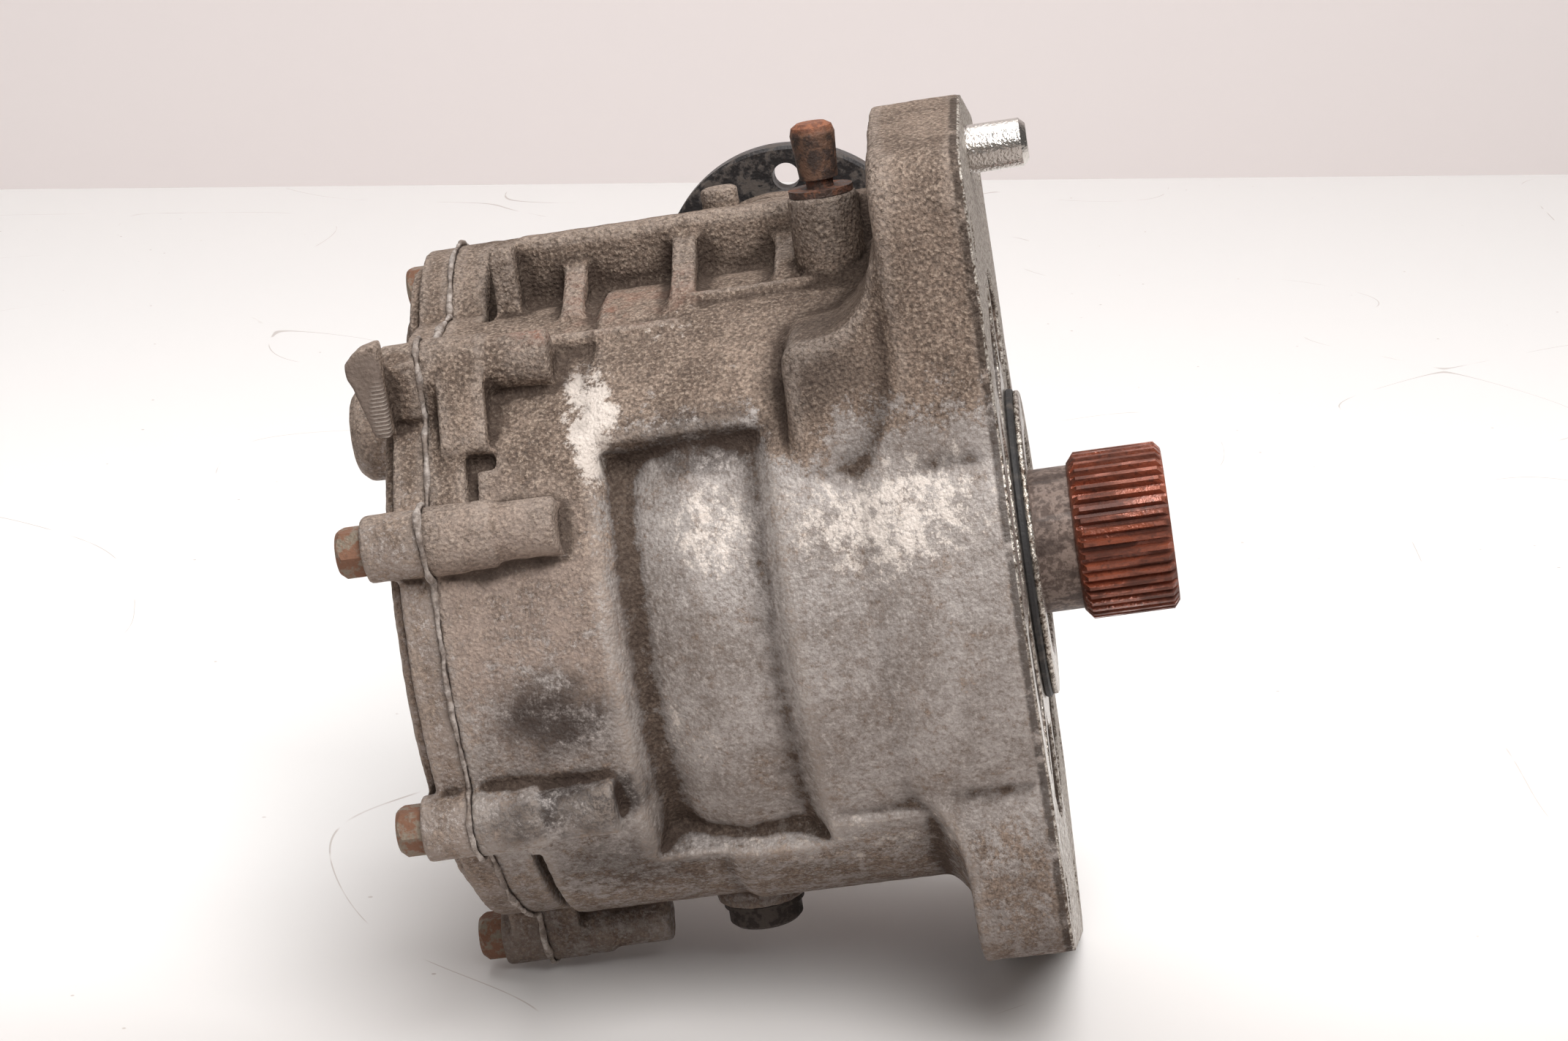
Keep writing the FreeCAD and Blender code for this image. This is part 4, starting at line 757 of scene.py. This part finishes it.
# Pieces carried over from the CAD model
bolt_steel = steel_material("bolt_steel", srgb(130, 117, 102), srgb(122, 86, 66),
                            share=0.55, metal=0.5, rough=0.5)
plain_steel = steel_material("plain_steel", srgb(150, 146, 142), srgb(110, 98, 90),
                             share=0.3, metal=0.85, rough=0.32, size=0.005)
bright_steel = steel_material("bright_steel", srgb(204, 198, 192), srgb(150, 132, 118),
                              share=0.0, metal=1.0, rough=0.24, size=0.006)
gear_steel = steel_material("gear_steel", srgb(146, 144, 144), srgb(96, 88, 82),
                            share=0.2, metal=0.95, rough=0.3, size=0.006)
bearing_steel = steel_material("bearing_steel", srgb(182, 180, 178), srgb(120, 110, 100),
                               share=0.12, metal=1.0, rough=0.2)
flange_steel = steel_material("flange_steel", srgb(50, 47, 47), srgb(82, 73, 67),
                              share=0.4, metal=0.5, rough=0.42, size=0.007)
# The drain plug is painted dark: painted shade, as it sits in shadow under the unit
drain_steel_painted_shade = steel_material("drain_steel_painted_shade", srgb(70, 60, 54), srgb(50, 42, 38),
                             share=0.5, metal=0.3, rough=0.6)
rust_steel = steel_material("rust_steel", srgb(72, 54, 46), srgb(112, 74, 56),
                            share=0.45, metal=0.2, rough=0.6, relief=0.0005)
rubber = rubber_material("black_rubber", srgb(38, 36, 36))
shaft_steel = spline_material("input_shaft_steel")
cap_steel = cap_material("rusty_cap")
bead_paste = sealant_material("sealant_edge", srgb(96, 84, 76), srgb(66, 56, 50), 0.6)

for name in nodes:
    if "bearing" in name:
        dress(name, bearing_steel)
    elif "gear" in name or name in ("countershaft", "pinion_shaft"):
        dress(name, gear_steel)
    elif "seal" in name or "o_ring" in name:
        dress(name, rubber)
    elif "shim" in name or "lock_ring" in name or "spacer" in name:
        dress(name, plain_steel)
dress("sealant_bead", bead_paste)

# Widths of the soft edges in millimetres
for name, material, bevel in (
    ("pinion_housing", case_aluminium, 0.8),
    ("cover_bolts", bolt_steel, 0.35),
    ("pinion_housing_bolts", bolt_steel, 0.35),
    ("input_shaft", shaft_steel, 0.18),
    ("companion_flange", flange_steel, 0.4),
    ("pinion_nut", plain_steel, 0.3),
    ("dust_deflector", flange_steel, 0.2),
    ("dowel_pin", bright_steel, 0.3),
    ("breather_stem", rust_steel, 0.2),
    ("breather_washer", rust_steel, 0.2),
    ("breather_cap", cap_steel, 0.5),
    ("drain_plug", drain_steel_painted_shade, 0.3),
    ("drain_washer", drain_steel_painted_shade, 0.2),
    ("fill_plug", bolt_steel, 0.3),
    ("fill_washer", bolt_steel, 0.2),
):
    dress(name, material, bevel * mm)

# Directions of the camera, and of the table seen from it
camera_back = Vector((math.sin(camera_azimuth) * math.cos(camera_elevation),
                      -math.cos(camera_azimuth) * math.cos(camera_elevation),
                      math.sin(camera_elevation)))
camera_right = Vector((math.cos(camera_azimuth), math.sin(camera_azimuth), 0.0))
camera_up = camera_back.cross(camera_right)
right = math.cos(camera_roll) * camera_right - math.sin(camera_roll) * camera_up
upward = math.sin(camera_roll) * camera_right + math.cos(camera_roll) * camera_up
forward = (-camera_back - floor_up * (-camera_back).dot(floor_up)).normalized()
side = forward.cross(floor_up)

# Table under the lowest point of the unit, and wall behind it
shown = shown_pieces()
graph = bpy.context.evaluated_depsgraph_get()
lowest = 0.0
for piece in shown:
    mesh = piece.evaluated_get(graph).to_mesh()
    lowest = min(lowest, float((read_points(mesh) @ np.array(floor_up)).min()))
wall_forward = Matrix.Rotation(wall_turn, 3, floor_up) @ forward
wall_side = wall_forward.cross(floor_up)
floor_point = floor_up * lowest
wall_foot = floor_point + wall_forward * wall_distance


def sheet_object(name, centre, across, over, width, depth, material):
    """A flat rectangle whose front side faces across x over."""
    corners = []
    for u, v in ((-1, -1), (1, -1), (1, 1), (-1, 1)):
        corners.append(centre + across * u * width / 2 + over * v * depth / 2)
    mesh = bpy.data.meshes.new(name)
    mesh.from_pydata(corners, [], [(0, 1, 2, 3)])
    mesh.materials.append(material)
    linked(name, mesh)


# The table's darker near colour is painted shade
table_white = stage_material("table_white", forward, srgb(190, 183, 179), srgb(255, 253, 251), 0.4)
wall_grey = stage_material("wall_grey", forward, srgb(235, 226, 224), srgb(235, 226, 224), 0.0)
table_middle = floor_point + wall_forward * (wall_distance - floor_size / 2)
wall_middle = wall_foot + floor_up * (wall_height / 2)
sheet_object("table", table_middle, wall_side, wall_forward, floor_size, floor_size, table_white)
sheet_object("wall", wall_middle, wall_side, floor_up, floor_size, wall_height, wall_grey)

# Camera
offset_x = (origin_px[0] - photo_width / 2) / focal_px * camera_distance
offset_y = (photo_height / 2 - origin_px[1]) / focal_px * camera_distance
eye = camera_back * camera_distance - right * offset_x - upward * offset_y
turn = Matrix((right, upward, camera_back)).transposed()
camera_data = bpy.data.cameras.new("photo_camera")
camera_data.sensor_width = sensor_width
camera_data.lens = sensor_width * focal_px / photo_width
camera_data.clip_start = 0.05
camera_data.clip_end = 20.0
camera = linked("photo_camera", camera_data)
camera.matrix_world = Matrix.Translation(eye) @ turn.to_4x4()
bpy.context.scene.camera = camera


# Light
def lamp(name, place, target, size, power):
    """A round lamp of the given width, turned to the target."""
    data = bpy.data.lights.new(name, "AREA")
    data.shape = "DISK"
    data.size = size
    data.energy = power
    item = linked(name, data)
    item.location = place
    item.rotation_mode = "QUATERNION"
    item.rotation_quaternion = (target - place).to_track_quat("-Z", "Y")


middle = Vector((-0.06, -0.02, 0.0))
lamp("key", middle + floor_up * 1.15 - forward * 0.90 + side * 0.30, middle, size=1.1, power=24.0)
lamp("fill", middle + floor_up * 0.7 - forward * 1.0 - side * 0.9, middle, size=0.8, power=2.0)
lamp("top", middle + floor_up * 1.5 + forward * 0.25, middle, size=1.6, power=16.0)

world = bpy.data.worlds.new("studio")
world.use_nodes = True
background = world.node_tree.nodes["Background"]
background.inputs["Color"].default_value = (1.0, 0.99, 0.98, 1.0)
background.inputs["Strength"].default_value = 0.12
bpy.context.scene.world = world
bpy.context.scene.view_settings.view_transform = "Standard"
